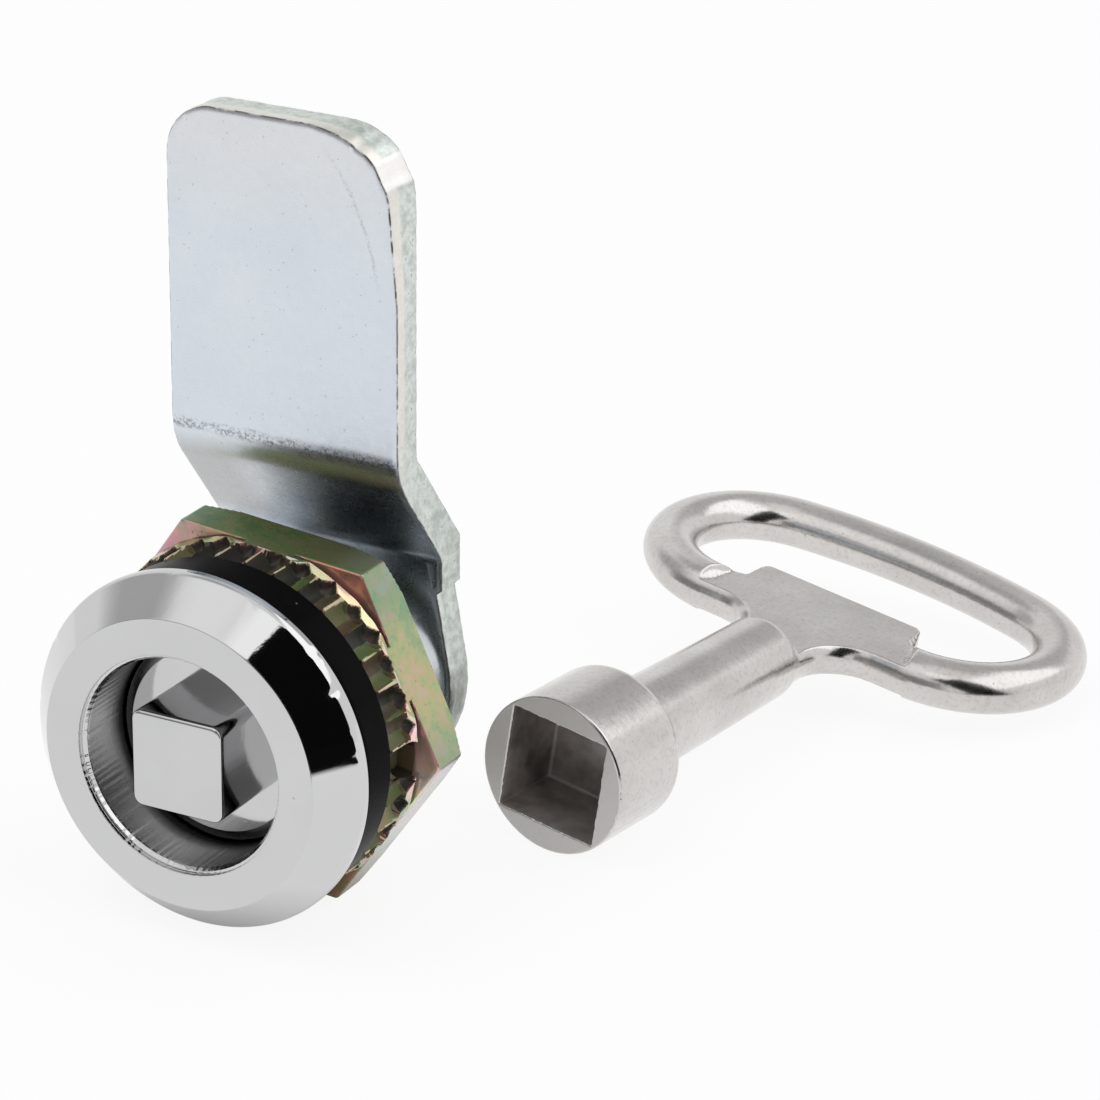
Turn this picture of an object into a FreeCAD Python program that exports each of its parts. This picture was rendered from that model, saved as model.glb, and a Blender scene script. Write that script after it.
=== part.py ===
import FreeCAD, Part
import math
import os

# A quarter-turn cam lock with a square drive, and the loose key that turns it.
# Millimetres. The lock's axis is Y, front towards -Y, and the cam points up, +Z.
# The origin is on the axis, at the head's back face, which clamps the gasket to the panel.

# Housing: head in front of the panel, flatted shank through it
HEAD_OVERHANG = 3.0
HEAD_THICKNESS = 3.7
HEAD_RIM = 0.8
HEAD_BEVEL = 2.6
SHANK_R = 11.0
SHANK_LENGTH = 16.0
SHANK_FLAT_CUT = 0.8
SHANK_CHAMFER = 0.8
RECESS_R = 8.2
RECESS_DEPTH = 7.2
RECESS_LIP = 0.4
RECESS_LIP_STEP = 0.3
BORE_R = 6.0
STOP_LUG_INNER_R = 7.6
STOP_LUG_OUTER_R = 9.8
STOP_LUG_ANGLE = 40.0
STOP_LUG_HEIGHT = 1.7

# Driver: disc with the square that the key fits, shaft, square for the cam
DRIVE_SQUARE = 7.65
DRIVE_SQUARE_CORNER = 0.7
DRIVE_SQUARE_PROUD = 0.2
DISC_THICKNESS = 2.2
DISC_CHAMFER = 0.9
DISC_CHAMFER_DEPTH = 0.5
SHAFT_PAST_SHANK = 0.05
GROOVE_START = 8.0
GROOVE_WIDTH = 2.0
GROOVE_DEPTH = 1.45
CAM_SQUARE = 8.0
CAM_SQUARE_CORNER = 0.5
CAM_SQUARE_SHORT = 0.2
SCREW_HOLE_DEPTH = 9.0

# Seals
GASKET_WALL = 2.5
GASKET_THICKNESS = 4.0
GASKET_EDGE_ROUND = 1.2
SEAL_SECTION_R = 0.7
SEAL_SIDES = 8

# Lock nut: hexagon behind, fluted crown in front that bites into the panel
NUT_WALL = 2.5
NUT_HEX_THICKNESS = 3.65
NUT_TURNED = -5.0
NUT_CHAMFER_WALL = 3.4
NUT_CHAMFER_ANGLE = 30.0
CROWN_WALL = 2.9
CROWN_LENGTH = 3.4
CROWN_LEDGE = 0.45
CROWN_NECK_WALL = 1.9
CROWN_NECK = 0.4
FLUTE_COUNT = 36
FLUTE_R = 1.25
FLUTE_DEPTH = 0.7
FLUTE_SIDES = 9
PIN_HOLE_R = 1.7
PIN_HOLE_ANGLE = -3.0
PIN_HOLE_BEHIND_FRONT = 2.3
PIN_HOLE_DEPTH = 1.8

# Stop washer: limits the driver to a quarter turn
STOP_WASHER_R = 10.0
STOP_WASHER_THICKNESS = 1.95
STOP_GAP_INNER_R = 7.2
QUARTER_TURN = 90.0
STOP_PLAY = 0.3

# Cam: cranked steel strip
CAM_THICKNESS = 3.0
CAM_WIDTH = 19.5
CAM_REACH = 45.0
CAM_OFFSET = 6.55
CAM_BEND_LOW = 10.4
CAM_BEND_HIGH = 18.7
CAM_BASE_R = 10.5
CAM_NECK_WIDTH = 17.5
CAM_SHOULDER_SLANT = 31.0
CAM_CORNER_LEFT = 4.0
CAM_CORNER_RIGHT = 5.4
CAM_BEND_ROUND_HIGH = 5.5
CAM_BEND_ROUND_LOW = 0.5
CAM_VALLEY_ROUND = 1.2
CAM_SHEAR_START = 31.0
CAM_SHEAR_WIDTH = 1.9

# Screw and washers that hold the cam on
SCREW_R = 2.5
SCREW_HEAD_R = 4.6
SCREW_HEAD_HEIGHT = 3.3
SCREW_HEAD_CROWN = 1.1
SCREW_CROSS_WIDTH = 1.2
SCREW_CROSS_REACH = 2.6
SCREW_CROSS_DEPTH = 2.0
SCREW_REACH = 8.0
FLAT_WASHER_R = 5.0
FLAT_WASHER_THICKNESS = 1.0
SPRING_WASHER_R = 4.35
SPRING_WASHER_THICKNESS = 1.3
SPRING_WASHER_SPLIT = 0.8
SPRING_WASHER_SLANT = 20.0

# Key: square socket, tapered stem, flat web and oval finger loop, cast in one piece
KEY_HEAD_R = 6.42
KEY_HEAD_LENGTH = 8.5
KEY_HEAD_ROUND = 0.9
KEY_HEAD_CHAMFER = 0.2
KEY_SOCKET_MOUTH = 8.7
KEY_SOCKET_FLOOR = 8.2
KEY_SOCKET_DEPTH = 6.3
KEY_STEM_R = 3.85
KEY_STEM_END_R = 3.55
KEY_STEM_BEFORE_BAR = 8.15
KEY_STEM_CROWN = 2.35
LOOP_CENTRE = 45.65
LOOP_END_R = 8.5
LOOP_END_SPREAD = 9.45
LOOP_BOW_R = 54.0
LOOP_SECTION_WIDTH = 4.7
LOOP_SECTION_HEIGHT = 4.2
LOOP_SECTION_SIDES = 10
WEB_HALF_WIDTH = 7.8
WEB_THICKNESS = 2.6
WEB_INTO_LOOP = 2.85
WEB_CORNER = 0.9
WEB_FLAT_REACH = 9.2
ROOT_SPREAD = 7.5
ROOT_R = 6.3
ROOT_TAIL = 4.0

# Where the key lies: its mouth's centre, and how it is turned from the lock's axis
KEY_AT = (16.76, 22.78, -7.72)
KEY_YAW = 6.7
KEY_DIP = 1.15
KEY_ROLL = 7.8

# Fits
RUNNING_FIT = 0.05
THREAD_FIT = 0.05
SQUARE_FIT = 0.05
SCREW_FIT = 0.05
DISC_FIT = 0.15

# Places along the axis, worked out from the sizes above
FRONT = -HEAD_THICKNESS
RECESS_FLOOR = FRONT + RECESS_DEPTH
DISC_FRONT = RECESS_FLOOR - DISC_THICKNESS
SHOULDER = SHANK_LENGTH + SHAFT_PAST_SHANK
NUT_FRONT = GASKET_THICKNESS
HEX_FRONT = NUT_FRONT + CROWN_LENGTH + CROWN_NECK
HEX_BACK = HEX_FRONT + NUT_HEX_THICKNESS
CAM_FRONT = SHOULDER + STOP_WASHER_THICKNESS
CAM_BACK = CAM_FRONT + CAM_THICKNESS
FLAT_WASHER_BACK = CAM_BACK + FLAT_WASHER_THICKNESS
SPRING_WASHER_BACK = FLAT_WASHER_BACK + SPRING_WASHER_THICKNESS
SHAFT_R = BORE_R - RUNNING_FIT
DISC_R = RECESS_R - DISC_FIT
HEAD_R = SHANK_R + HEAD_OVERHANG
HEAD_FLAT_R = HEAD_R - HEAD_BEVEL
GASKET_R = SHANK_R + GASKET_WALL
NUT_FLATS_R = SHANK_R + NUT_WALL
NUT_CHAMFER_R = SHANK_R + NUT_CHAMFER_WALL
CROWN_R = SHANK_R + CROWN_WALL
CROWN_NECK_R = SHANK_R + CROWN_NECK_WALL
SQUARE_HOLE = CAM_SQUARE + 2 * SQUARE_FIT
BAR_Y = LOOP_CENTRE - LOOP_END_R
KEY_STEM_END = BAR_Y - KEY_STEM_BEFORE_BAR
MARGIN = 1.0
ROUND_STEPS = 2

ORIGIN = FreeCAD.Vector(0, 0, 0)
ALONG = FreeCAD.Vector(0, 1, 0)


def at(x, y, z):
    return FreeCAD.Vector(x, y, z)


def rod(radius, start, end):
    """A cylinder on the lock's axis, from one place along it to another."""
    return Part.makeCylinder(radius, end - start, at(0, start, 0), ALONG)


def turned(outline):
    """A solid turned about the Y axis from (radius, place along the axis) points."""
    points = [at(r, y, 0) for r, y in outline]
    face = Part.Face(Part.makePolygon(points + points[:1]))
    return face.revolve(ORIGIN, ALONG, 360)


def arc_points(centre_r, centre_y, radius, angle_from, angle_to, steps):
    """Points of a round in a turned outline; 0 degrees points outward and 90 along the axis."""
    points = []
    for i in range(steps + 1):
        a = math.radians(angle_from + (angle_to - angle_from) * i / steps)
        points.append((centre_r + radius * math.cos(a), centre_y + radius * math.sin(a)))
    return points


def block(x0, x1, y0, y1, z0, z1):
    return Part.makeBox(x1 - x0, y1 - y0, z1 - z0, at(x0, y0, z0))


def square_bar(side, corner, start, end):
    """A square bar on the lock's axis with rounded long edges."""
    half = side / 2
    bar = block(-half, half, start, end, -half, half)
    long_edges = [e for e in bar.Edges if abs(e.tangentAt(0).y) > 0.9]
    return bar.makeFillet(corner, long_edges)


def polar(radius, angle, y):
    a = math.radians(angle)
    return at(radius * math.cos(a), y, radius * math.sin(a))


def sector(inner, outer, start, end, angle_from, angle_to):
    """A slice of a tube about the lock's axis; angles run from +X towards +Z."""
    middle = (angle_from + angle_to) / 2
    outside = [polar(outer, angle, start) for angle in (angle_from, middle, angle_to)]
    inside = [polar(inner, angle, start) for angle in (angle_to, middle, angle_from)]
    edges = [
        Part.Arc(*outside).toShape(),
        Part.makeLine(outside[-1], inside[0]),
        Part.Arc(*inside).toShape(),
        Part.makeLine(inside[-1], outside[0]),
    ]
    return Part.Face(Part.Wire(edges)).extrude(at(0, end - start, 0))


def housing():
    """Bevelled head with its recess, shank with two flats, bore, and the lug that stops the turn."""
    lip_r = RECESS_R + RECESS_LIP
    outline = [
        (lip_r, FRONT),
        (HEAD_FLAT_R, FRONT),
        (HEAD_R, -HEAD_RIM),
        (HEAD_R, 0),
        (SHANK_R, 0),
        (SHANK_R, SHANK_LENGTH - SHANK_CHAMFER),
        (SHANK_R - SHANK_CHAMFER, SHANK_LENGTH),
        (BORE_R, SHANK_LENGTH),
        (BORE_R, RECESS_FLOOR),
        (RECESS_R, RECESS_FLOOR),
        (RECESS_R, FRONT + 2 * RECESS_LIP_STEP),
        (RECESS_R + RECESS_LIP / 2, FRONT + RECESS_LIP_STEP),
        (lip_r, FRONT + RECESS_LIP_STEP),
    ]
    body = turned(outline)
    for side in (-1, 1):
        inner = side * (SHANK_R - SHANK_FLAT_CUT)
        outer = side * (SHANK_R + MARGIN)
        low, high = sorted((inner, outer))
        body = body.cut(block(low, high, 0, SHANK_LENGTH + MARGIN, -SHANK_R, SHANK_R))
    half = STOP_LUG_ANGLE / 2
    lug_end = SHANK_LENGTH + STOP_LUG_HEIGHT
    lug = sector(STOP_LUG_INNER_R, STOP_LUG_OUTER_R, SHANK_LENGTH, lug_end, -90 - half, -90 + half)
    return body.fuse(lug).removeSplitter()


def driver():
    """Disc and key square in front, shaft with a seal groove, cam square and screw hole behind."""
    groove_r = SHAFT_R - GROOVE_DEPTH
    outline = [
        (0, DISC_FRONT),
        (DISC_R - DISC_CHAMFER, DISC_FRONT),
        (DISC_R, DISC_FRONT + DISC_CHAMFER_DEPTH),
        (DISC_R, RECESS_FLOOR),
        (SHAFT_R, RECESS_FLOOR),
        (SHAFT_R, GROOVE_START),
        (groove_r, GROOVE_START),
        (groove_r, GROOVE_START + GROOVE_WIDTH),
        (SHAFT_R, GROOVE_START + GROOVE_WIDTH),
        (SHAFT_R, SHOULDER),
        (0, SHOULDER),
    ]
    body = turned(outline)
    key_square = square_bar(DRIVE_SQUARE, DRIVE_SQUARE_CORNER, FRONT - DRIVE_SQUARE_PROUD, RECESS_FLOOR)
    cam_square = square_bar(CAM_SQUARE, CAM_SQUARE_CORNER, SHOULDER - MARGIN, CAM_BACK - CAM_SQUARE_SHORT)
    screw_hole = rod(SCREW_R + SCREW_FIT, CAM_BACK - SCREW_HOLE_DEPTH, CAM_BACK)
    return body.fuse([key_square, cam_square]).cut(screw_hole).removeSplitter()


def driver_seal():
    """Rubber ring in the shaft's groove."""
    centre_r = BORE_R - RUNNING_FIT - SEAL_SECTION_R
    middle = GROOVE_START + GROOVE_WIDTH / 2
    section = arc_points(centre_r, middle, SEAL_SECTION_R, 0, 360, SEAL_SIDES)
    return turned(section[:-1])


def gasket():
    """Thick rubber washer behind the head, rounded outside."""
    hole_r = SHANK_R + THREAD_FIT
    round_r = GASKET_R - GASKET_EDGE_ROUND
    back_y = GASKET_THICKNESS - GASKET_EDGE_ROUND
    outline = [(hole_r, 0)]
    outline += arc_points(round_r, GASKET_EDGE_ROUND, GASKET_EDGE_ROUND, -90, 0, ROUND_STEPS)
    outline += arc_points(round_r, back_y, GASKET_EDGE_ROUND, 0, 90, ROUND_STEPS)
    outline += [(hole_r, GASKET_THICKNESS)]
    return turned(outline)


def nut_hexagon():
    """Hexagon with its rear corners turned off, in the position that the nut has stopped at."""
    corner_r = NUT_FLATS_R / math.cos(math.radians(30))
    corners = [polar(corner_r, NUT_TURNED + 60 * i, HEX_FRONT) for i in range(7)]
    hexagon = Part.Face(Part.makePolygon(corners)).extrude(at(0, NUT_HEX_THICKNESS, 0))
    slope = math.tan(math.radians(NUT_CHAMFER_ANGLE))
    wide_r = corner_r + MARGIN
    envelope = turned([
        (0, HEX_FRONT),
        (wide_r, HEX_FRONT),
        (wide_r, HEX_BACK - (wide_r - NUT_CHAMFER_R) * slope),
        (NUT_CHAMFER_R, HEX_BACK),
        (0, HEX_BACK),
    ])
    return hexagon.common(envelope)


def crown_flutes():
    """Cutters for the hollow flutes, all the way round, which stop short of the crown's back ledge."""
    centre_r = CROWN_R - FLUTE_DEPTH + FLUTE_R
    end = NUT_FRONT + CROWN_LENGTH - CROWN_LEDGE
    cutters = []
    for i in range(FLUTE_COUNT):
        angle = NUT_TURNED + 360 * i / FLUTE_COUNT
        centre = polar(centre_r, angle, NUT_FRONT - MARGIN)
        points = []
        for side in range(FLUTE_SIDES):
            across = angle + 360 * (side + 0.5) / FLUTE_SIDES
            points.append(centre + polar(FLUTE_R, across, 0))
        section = Part.Face(Part.makePolygon(points + points[:1]))
        cutters.append(section.extrude(at(0, end - NUT_FRONT + MARGIN, 0)))
    return cutters


def lock_nut():
    """Steel nut with the fluted crown in front, an undercut between crown and hexagon, and a pin hole."""
    crown_back = NUT_FRONT + CROWN_LENGTH
    crown = rod(CROWN_R, NUT_FRONT, crown_back).cut(crown_flutes())
    neck = rod(CROWN_NECK_R, NUT_FRONT, HEX_FRONT)
    body = nut_hexagon().fuse([neck, crown])
    body = body.cut(rod(SHANK_R + THREAD_FIT, NUT_FRONT - MARGIN, HEX_BACK + MARGIN))
    hole_y = NUT_FRONT + PIN_HOLE_BEHIND_FRONT
    foot = polar(CROWN_R - PIN_HOLE_DEPTH, PIN_HOLE_ANGLE, hole_y)
    outward = polar(1, PIN_HOLE_ANGLE, 0)
    pin_hole = Part.makeCylinder(PIN_HOLE_R, PIN_HOLE_DEPTH + MARGIN, foot, outward)
    return body.cut(pin_hole).removeSplitter()


def stop_washer():
    """Disc on the cam square with a wide gap in its rim, in which the housing's lug stands."""
    disc = rod(STOP_WASHER_R, SHOULDER, CAM_FRONT)
    half = STOP_LUG_ANGLE / 2
    gap_from = -90 - half - STOP_PLAY - QUARTER_TURN
    gap_to = -90 + half + STOP_PLAY
    ahead = SHOULDER - MARGIN
    behind = CAM_FRONT + MARGIN
    gap = sector(STOP_GAP_INNER_R, STOP_WASHER_R + MARGIN, ahead, behind, gap_from, gap_to)
    hole = square_bar(SQUARE_HOLE, CAM_SQUARE_CORNER, ahead, behind)
    return disc.cut([gap, hole])


def cam_miter():
    """How much higher a bend's corner is on the back of the strip than on the front."""
    lean = math.atan2(CAM_OFFSET, CAM_BEND_HIGH - CAM_BEND_LOW)
    return CAM_THICKNESS * math.tan(lean / 2)


def cam_side_view():
    """The strip seen from its edge: base flat behind, crank, and the reaching end nearer the panel."""
    rise = cam_miter()
    reach_front = CAM_FRONT - CAM_OFFSET
    foot = -CAM_BASE_R - MARGIN
    top = CAM_REACH + MARGIN
    outline = [
        (CAM_FRONT, foot),
        (CAM_FRONT, CAM_BEND_LOW),
        (reach_front, CAM_BEND_HIGH),
        (reach_front, top),
        (reach_front + CAM_THICKNESS, top),
        (reach_front + CAM_THICKNESS, CAM_BEND_HIGH + rise),
        (CAM_BACK, CAM_BEND_LOW + rise),
        (CAM_BACK, foot),
    ]
    half = CAM_WIDTH
    points = [at(-half, y, z) for y, z in outline]
    strip = Part.Face(Part.makePolygon(points + points[:1])).extrude(at(2 * half, 0, 0))
    rounds = [
        (CAM_BEND_ROUND_HIGH, reach_front, CAM_BEND_HIGH),
        (CAM_VALLEY_ROUND, reach_front + CAM_THICKNESS, CAM_BEND_HIGH + rise),
        (CAM_BEND_ROUND_LOW, CAM_BACK, CAM_BEND_LOW + rise),
        (CAM_VALLEY_ROUND, CAM_FRONT, CAM_BEND_LOW),
    ]
    for radius, y, z in rounds:
        bend = [e for e in strip.Edges if e.CenterOfMass.distanceToPoint(at(0, y, z)) < 1e-4]
        strip = strip.makeFillet(radius, bend)
    return strip


def cam_neck(ahead, behind):
    """Neck that widens downwards until it is tangent to the round base."""
    top = CAM_BEND_HIGH
    half = CAM_NECK_WIDTH / 2
    shoulder = math.hypot(half, CAM_BEND_LOW)
    touch = math.atan2(CAM_BEND_LOW, half) - math.acos(CAM_BASE_R / shoulder)
    side_x = CAM_BASE_R * math.cos(touch)
    side_z = CAM_BASE_R * math.sin(touch)
    right = [(side_x, side_z), (half, CAM_BEND_LOW), (half, top)]
    left = [(-x, z) for x, z in reversed(right)]
    points = [at(x, ahead, z) for x, z in right + left]
    return Part.Face(Part.makePolygon(points + points[:1])).extrude(at(0, behind - ahead, 0))


def cam_front_view():
    """The blank seen from the front: round base, neck, and the wide end with two unlike corners."""
    half = CAM_WIDTH / 2
    behind = CAM_BACK + MARGIN
    ahead = CAM_FRONT - CAM_OFFSET - MARGIN
    base = rod(CAM_BASE_R, ahead, behind)
    wide = block(-half, half, ahead, behind, 0, CAM_REACH)
    for radius, x in ((CAM_CORNER_LEFT, -half), (CAM_CORNER_RIGHT, half)):
        middle = at(x, (ahead + behind) / 2, CAM_REACH)
        corner = [e for e in wide.Edges if e.CenterOfMass.distanceToPoint(middle) < 1e-4]
        wide = wide.makeFillet(radius, corner)
    slope = math.tan(math.radians(CAM_SHOULDER_SLANT))
    back_z = CAM_BEND_LOW + cam_miter()
    outline = [
        (ahead, back_z - (CAM_BACK - ahead) * slope),
        (behind, back_z + (behind - CAM_BACK) * slope),
        (behind, -2 * CAM_REACH),
        (ahead, -2 * CAM_REACH),
    ]
    points = [at(-CAM_WIDTH, y, z) for y, z in outline]
    below = Part.Face(Part.makePolygon(points + points[:1])).extrude(at(2 * CAM_WIDTH, 0, 0))
    return wide.cut(below).fuse([base, cam_neck(ahead, behind)])


def slanting_shear():
    """Cutter for the slant that the shear left on one long edge, widest at the top corner."""
    edge = CAM_WIDTH / 2
    front = CAM_FRONT - CAM_OFFSET
    low = at(edge, front, CAM_SHEAR_START)
    inner = at(edge - CAM_SHEAR_WIDTH, front, CAM_REACH)
    deep = at(edge, front + CAM_THICKNESS, CAM_REACH)
    normal = (inner - low).cross(deep - low)
    normal.normalize()
    if normal.x < 0:
        normal = -normal
    size = CAM_REACH
    plane = Part.makePlane(2 * size, 2 * size, ORIGIN, normal)
    plane.translate(inner - plane.CenterOfMass)
    return plane.extrude(normal * size)


def cam():
    """Cranked strip with a square hole."""
    strip = cam_side_view().common(cam_front_view())
    hole = square_bar(SQUARE_HOLE, CAM_SQUARE_CORNER, CAM_FRONT - MARGIN, CAM_BACK + MARGIN)
    return strip.cut([hole, slanting_shear()]).removeSplitter()


def washer(radius, start, end):
    """A round washer with a clearance hole for the screw."""
    return rod(radius, start, end).cut(rod(SCREW_R + SCREW_FIT, start, end))


def flat_washer():
    return washer(FLAT_WASHER_R, CAM_BACK, FLAT_WASHER_BACK)


def spring_washer():
    """Split ring, cut through on the slant."""
    ring = washer(SPRING_WASHER_R, FLAT_WASHER_BACK, SPRING_WASHER_BACK)
    half = SPRING_WASHER_SPLIT / 2
    middle = (FLAT_WASHER_BACK + SPRING_WASHER_BACK) / 2
    ahead = FLAT_WASHER_BACK - MARGIN
    behind = SPRING_WASHER_BACK + MARGIN
    slit = block(-half, half, ahead, behind, 0, SPRING_WASHER_R + MARGIN)
    slit.rotate(at(0, middle, 0), at(0, 0, 1), SPRING_WASHER_SLANT)
    return ring.cut(slit)


def cam_screw():
    """Pan-head screw with a cross recess."""
    top = SPRING_WASHER_BACK + SCREW_HEAD_HEIGHT
    crown_r = SCREW_HEAD_R - SCREW_HEAD_CROWN
    outline = [
        (0, SPRING_WASHER_BACK - SCREW_REACH),
        (SCREW_R, SPRING_WASHER_BACK - SCREW_REACH),
        (SCREW_R, SPRING_WASHER_BACK),
        (SCREW_HEAD_R, SPRING_WASHER_BACK),
    ]
    outline += arc_points(crown_r, top - SCREW_HEAD_CROWN, SCREW_HEAD_CROWN, 0, 90, ROUND_STEPS)
    outline += [(0, top)]
    screw = turned(outline)
    half = SCREW_CROSS_WIDTH / 2
    floor = top - SCREW_CROSS_DEPTH
    upright = block(-half, half, floor, top + MARGIN, -SCREW_CROSS_REACH, SCREW_CROSS_REACH)
    level = block(-SCREW_CROSS_REACH, SCREW_CROSS_REACH, floor, top + MARGIN, -half, half)
    return screw.cut([upright, level])


def key_socket():
    """Cutter for the square socket, which narrows towards its floor."""
    wires = []
    for side, y in ((KEY_SOCKET_MOUTH, 0), (KEY_SOCKET_FLOOR, KEY_SOCKET_DEPTH)):
        half = side / 2
        points = [at(half, y, half), at(-half, y, half), at(-half, y, -half), at(half, y, -half)]
        wires.append(Part.makePolygon(points + points[:1]))
    return Part.makeLoft(wires, True, True)


def key_shaft():
    """Socket head, and the stem that tapers to a rounded end on the web."""
    round_r = KEY_HEAD_R - KEY_HEAD_ROUND
    round_y = KEY_HEAD_LENGTH - KEY_HEAD_ROUND
    outline = [(0, 0), (KEY_HEAD_R - KEY_HEAD_CHAMFER, 0), (KEY_HEAD_R, KEY_HEAD_CHAMFER)]
    outline += arc_points(round_r, round_y, KEY_HEAD_ROUND, 0, 90, ROUND_STEPS)
    outline += [(KEY_STEM_R, KEY_HEAD_LENGTH)]
    crown = arc_points(0, 0, KEY_STEM_END_R, 0, 90, ROUND_STEPS)
    outline += [(r, KEY_STEM_END + y * KEY_STEM_CROWN / KEY_STEM_END_R) for r, y in crown]
    return turned(outline)


def loop_section(x, y):
    """The loop's oval section, standing across X, with narrow flat sides."""
    points = []
    for i in range(LOOP_SECTION_SIDES):
        a = 2 * math.pi * i / LOOP_SECTION_SIDES
        across = LOOP_SECTION_WIDTH / 2 * math.cos(a)
        points.append(at(x, y + across, LOOP_SECTION_HEIGHT / 2 * math.sin(a)))
    return Part.Face(Part.makePolygon(points + points[:1]))


def loop_parts():
    """The far bar, slightly bowed, and for the right half its end, front bar and root curve."""
    bow_centre = LOOP_CENTRE - math.sqrt((LOOP_BOW_R - LOOP_END_R) ** 2 - LOOP_END_SPREAD ** 2)
    bow_angle = math.degrees(math.asin(LOOP_END_SPREAD / (LOOP_BOW_R - LOOP_END_R)))
    up = at(0, 0, 1)
    far_bar = loop_section(0, bow_centre + LOOP_BOW_R)
    far_bar.rotate(at(0, bow_centre, 0), up, -bow_angle)
    far_bar = far_bar.revolve(at(0, bow_centre, 0), up, 2 * bow_angle)
    end = loop_section(LOOP_END_SPREAD, BAR_Y)
    end = end.revolve(at(LOOP_END_SPREAD, LOOP_CENTRE, 0), up, 180 - bow_angle)
    front_bar = loop_section(ROOT_SPREAD, BAR_Y).extrude(at(LOOP_END_SPREAD - ROOT_SPREAD, 0, 0))
    root = loop_section(ROOT_SPREAD, BAR_Y)
    root = root.revolve(at(ROOT_SPREAD, BAR_Y - ROOT_R, 0), up, 90)
    tail = loop_section(ROOT_SPREAD, BAR_Y)
    tail.rotate(at(ROOT_SPREAD, BAR_Y - ROOT_R, 0), up, 90)
    tail = tail.extrude(at(0, -ROOT_TAIL, 0))
    return far_bar, [end, front_bar, root, tail]


def key_web():
    """Flat web between the root curves, standing into the loop with a straight edge."""
    edge_y = BAR_Y + LOOP_SECTION_WIDTH / 2 + WEB_INTO_LOOP
    low_y = BAR_Y - ROOT_R
    foot_x = ROOT_SPREAD - ROOT_R
    z = -WEB_THICKNESS / 2
    turn = math.sqrt(0.5) * ROOT_R
    edges = []
    for side in (1, -1):
        shoulder = at(side * ROOT_SPREAD, BAR_Y, z)
        foot = at(side * foot_x, low_y, z)
        halfway = at(side * (ROOT_SPREAD - turn), low_y + turn, z)
        corner = at(side * WEB_HALF_WIDTH, BAR_Y, z)
        tip = at(side * WEB_HALF_WIDTH, edge_y, z)
        edges += [Part.Arc(foot, halfway, shoulder).toShape()]
        edges += [Part.makeLine(shoulder, corner), Part.makeLine(corner, tip)]
    edges.append(Part.makeLine(at(WEB_HALF_WIDTH, edge_y, z), at(-WEB_HALF_WIDTH, edge_y, z)))
    edges.append(Part.makeLine(at(foot_x, low_y, z), at(-foot_x, low_y, z)))
    outline = Part.Wire(Part.__sortEdges__(edges))
    web = Part.Face(outline).extrude(at(0, 0, WEB_THICKNESS))
    tips = []
    for edge in web.Edges:
        middle = edge.CenterOfMass
        if abs(middle.z) < 1e-4 and abs(middle.y - edge_y) < 1e-4:
            tips.append(edge)
    return web.makeFillet(WEB_CORNER, tips)


def web_flats():
    """Cutters that take the loop's front bar and roots down to the web's two flat faces."""
    low_y = BAR_Y - ROOT_R - ROOT_TAIL - MARGIN
    high_y = LOOP_CENTRE
    near = WEB_THICKNESS / 2
    far = LOOP_SECTION_HEIGHT
    above = block(-WEB_FLAT_REACH, WEB_FLAT_REACH, low_y, high_y, near, far)
    below = block(-WEB_FLAT_REACH, WEB_FLAT_REACH, low_y, high_y, -far, -near)
    return [above, below]


def key():
    """The whole key, cast in one piece, laid beside the lock."""
    far_bar, right = loop_parts()
    left = [piece.mirror(ORIGIN, at(1, 0, 0)) for piece in right]
    loop = far_bar.fuse([key_web()] + right + left).cut(web_flats())
    body = key_shaft().fuse(loop).cut(key_socket()).removeSplitter()
    body.rotate(ORIGIN, ALONG, KEY_ROLL)
    body.rotate(ORIGIN, at(1, 0, 0), -KEY_DIP)
    body.rotate(ORIGIN, at(0, 0, 1), -KEY_YAW)
    body.translate(at(*KEY_AT))
    return body


PARTS = {
    "housing": housing,
    "gasket": gasket,
    "driver": driver,
    "driver_seal": driver_seal,
    "lock_nut": lock_nut,
    "stop_washer": stop_washer,
    "cam": cam,
    "flat_washer": flat_washer,
    "spring_washer": spring_washer,
    "cam_screw": cam_screw,
    "key": key,
}

os.makedirs("parts", exist_ok=True)
for name, make in PARTS.items():
    shape = make()
    shape.exportStep("parts/" + name + ".step")
    state = "valid" if shape.isValid() else "NOT VALID"
    print(name, len(shape.Solids), "solid", round(shape.Volume, 1), "mm3", state)
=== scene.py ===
import math
import random

import bmesh
import bpy
import numpy as np
from mathutils import Matrix, Vector


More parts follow.
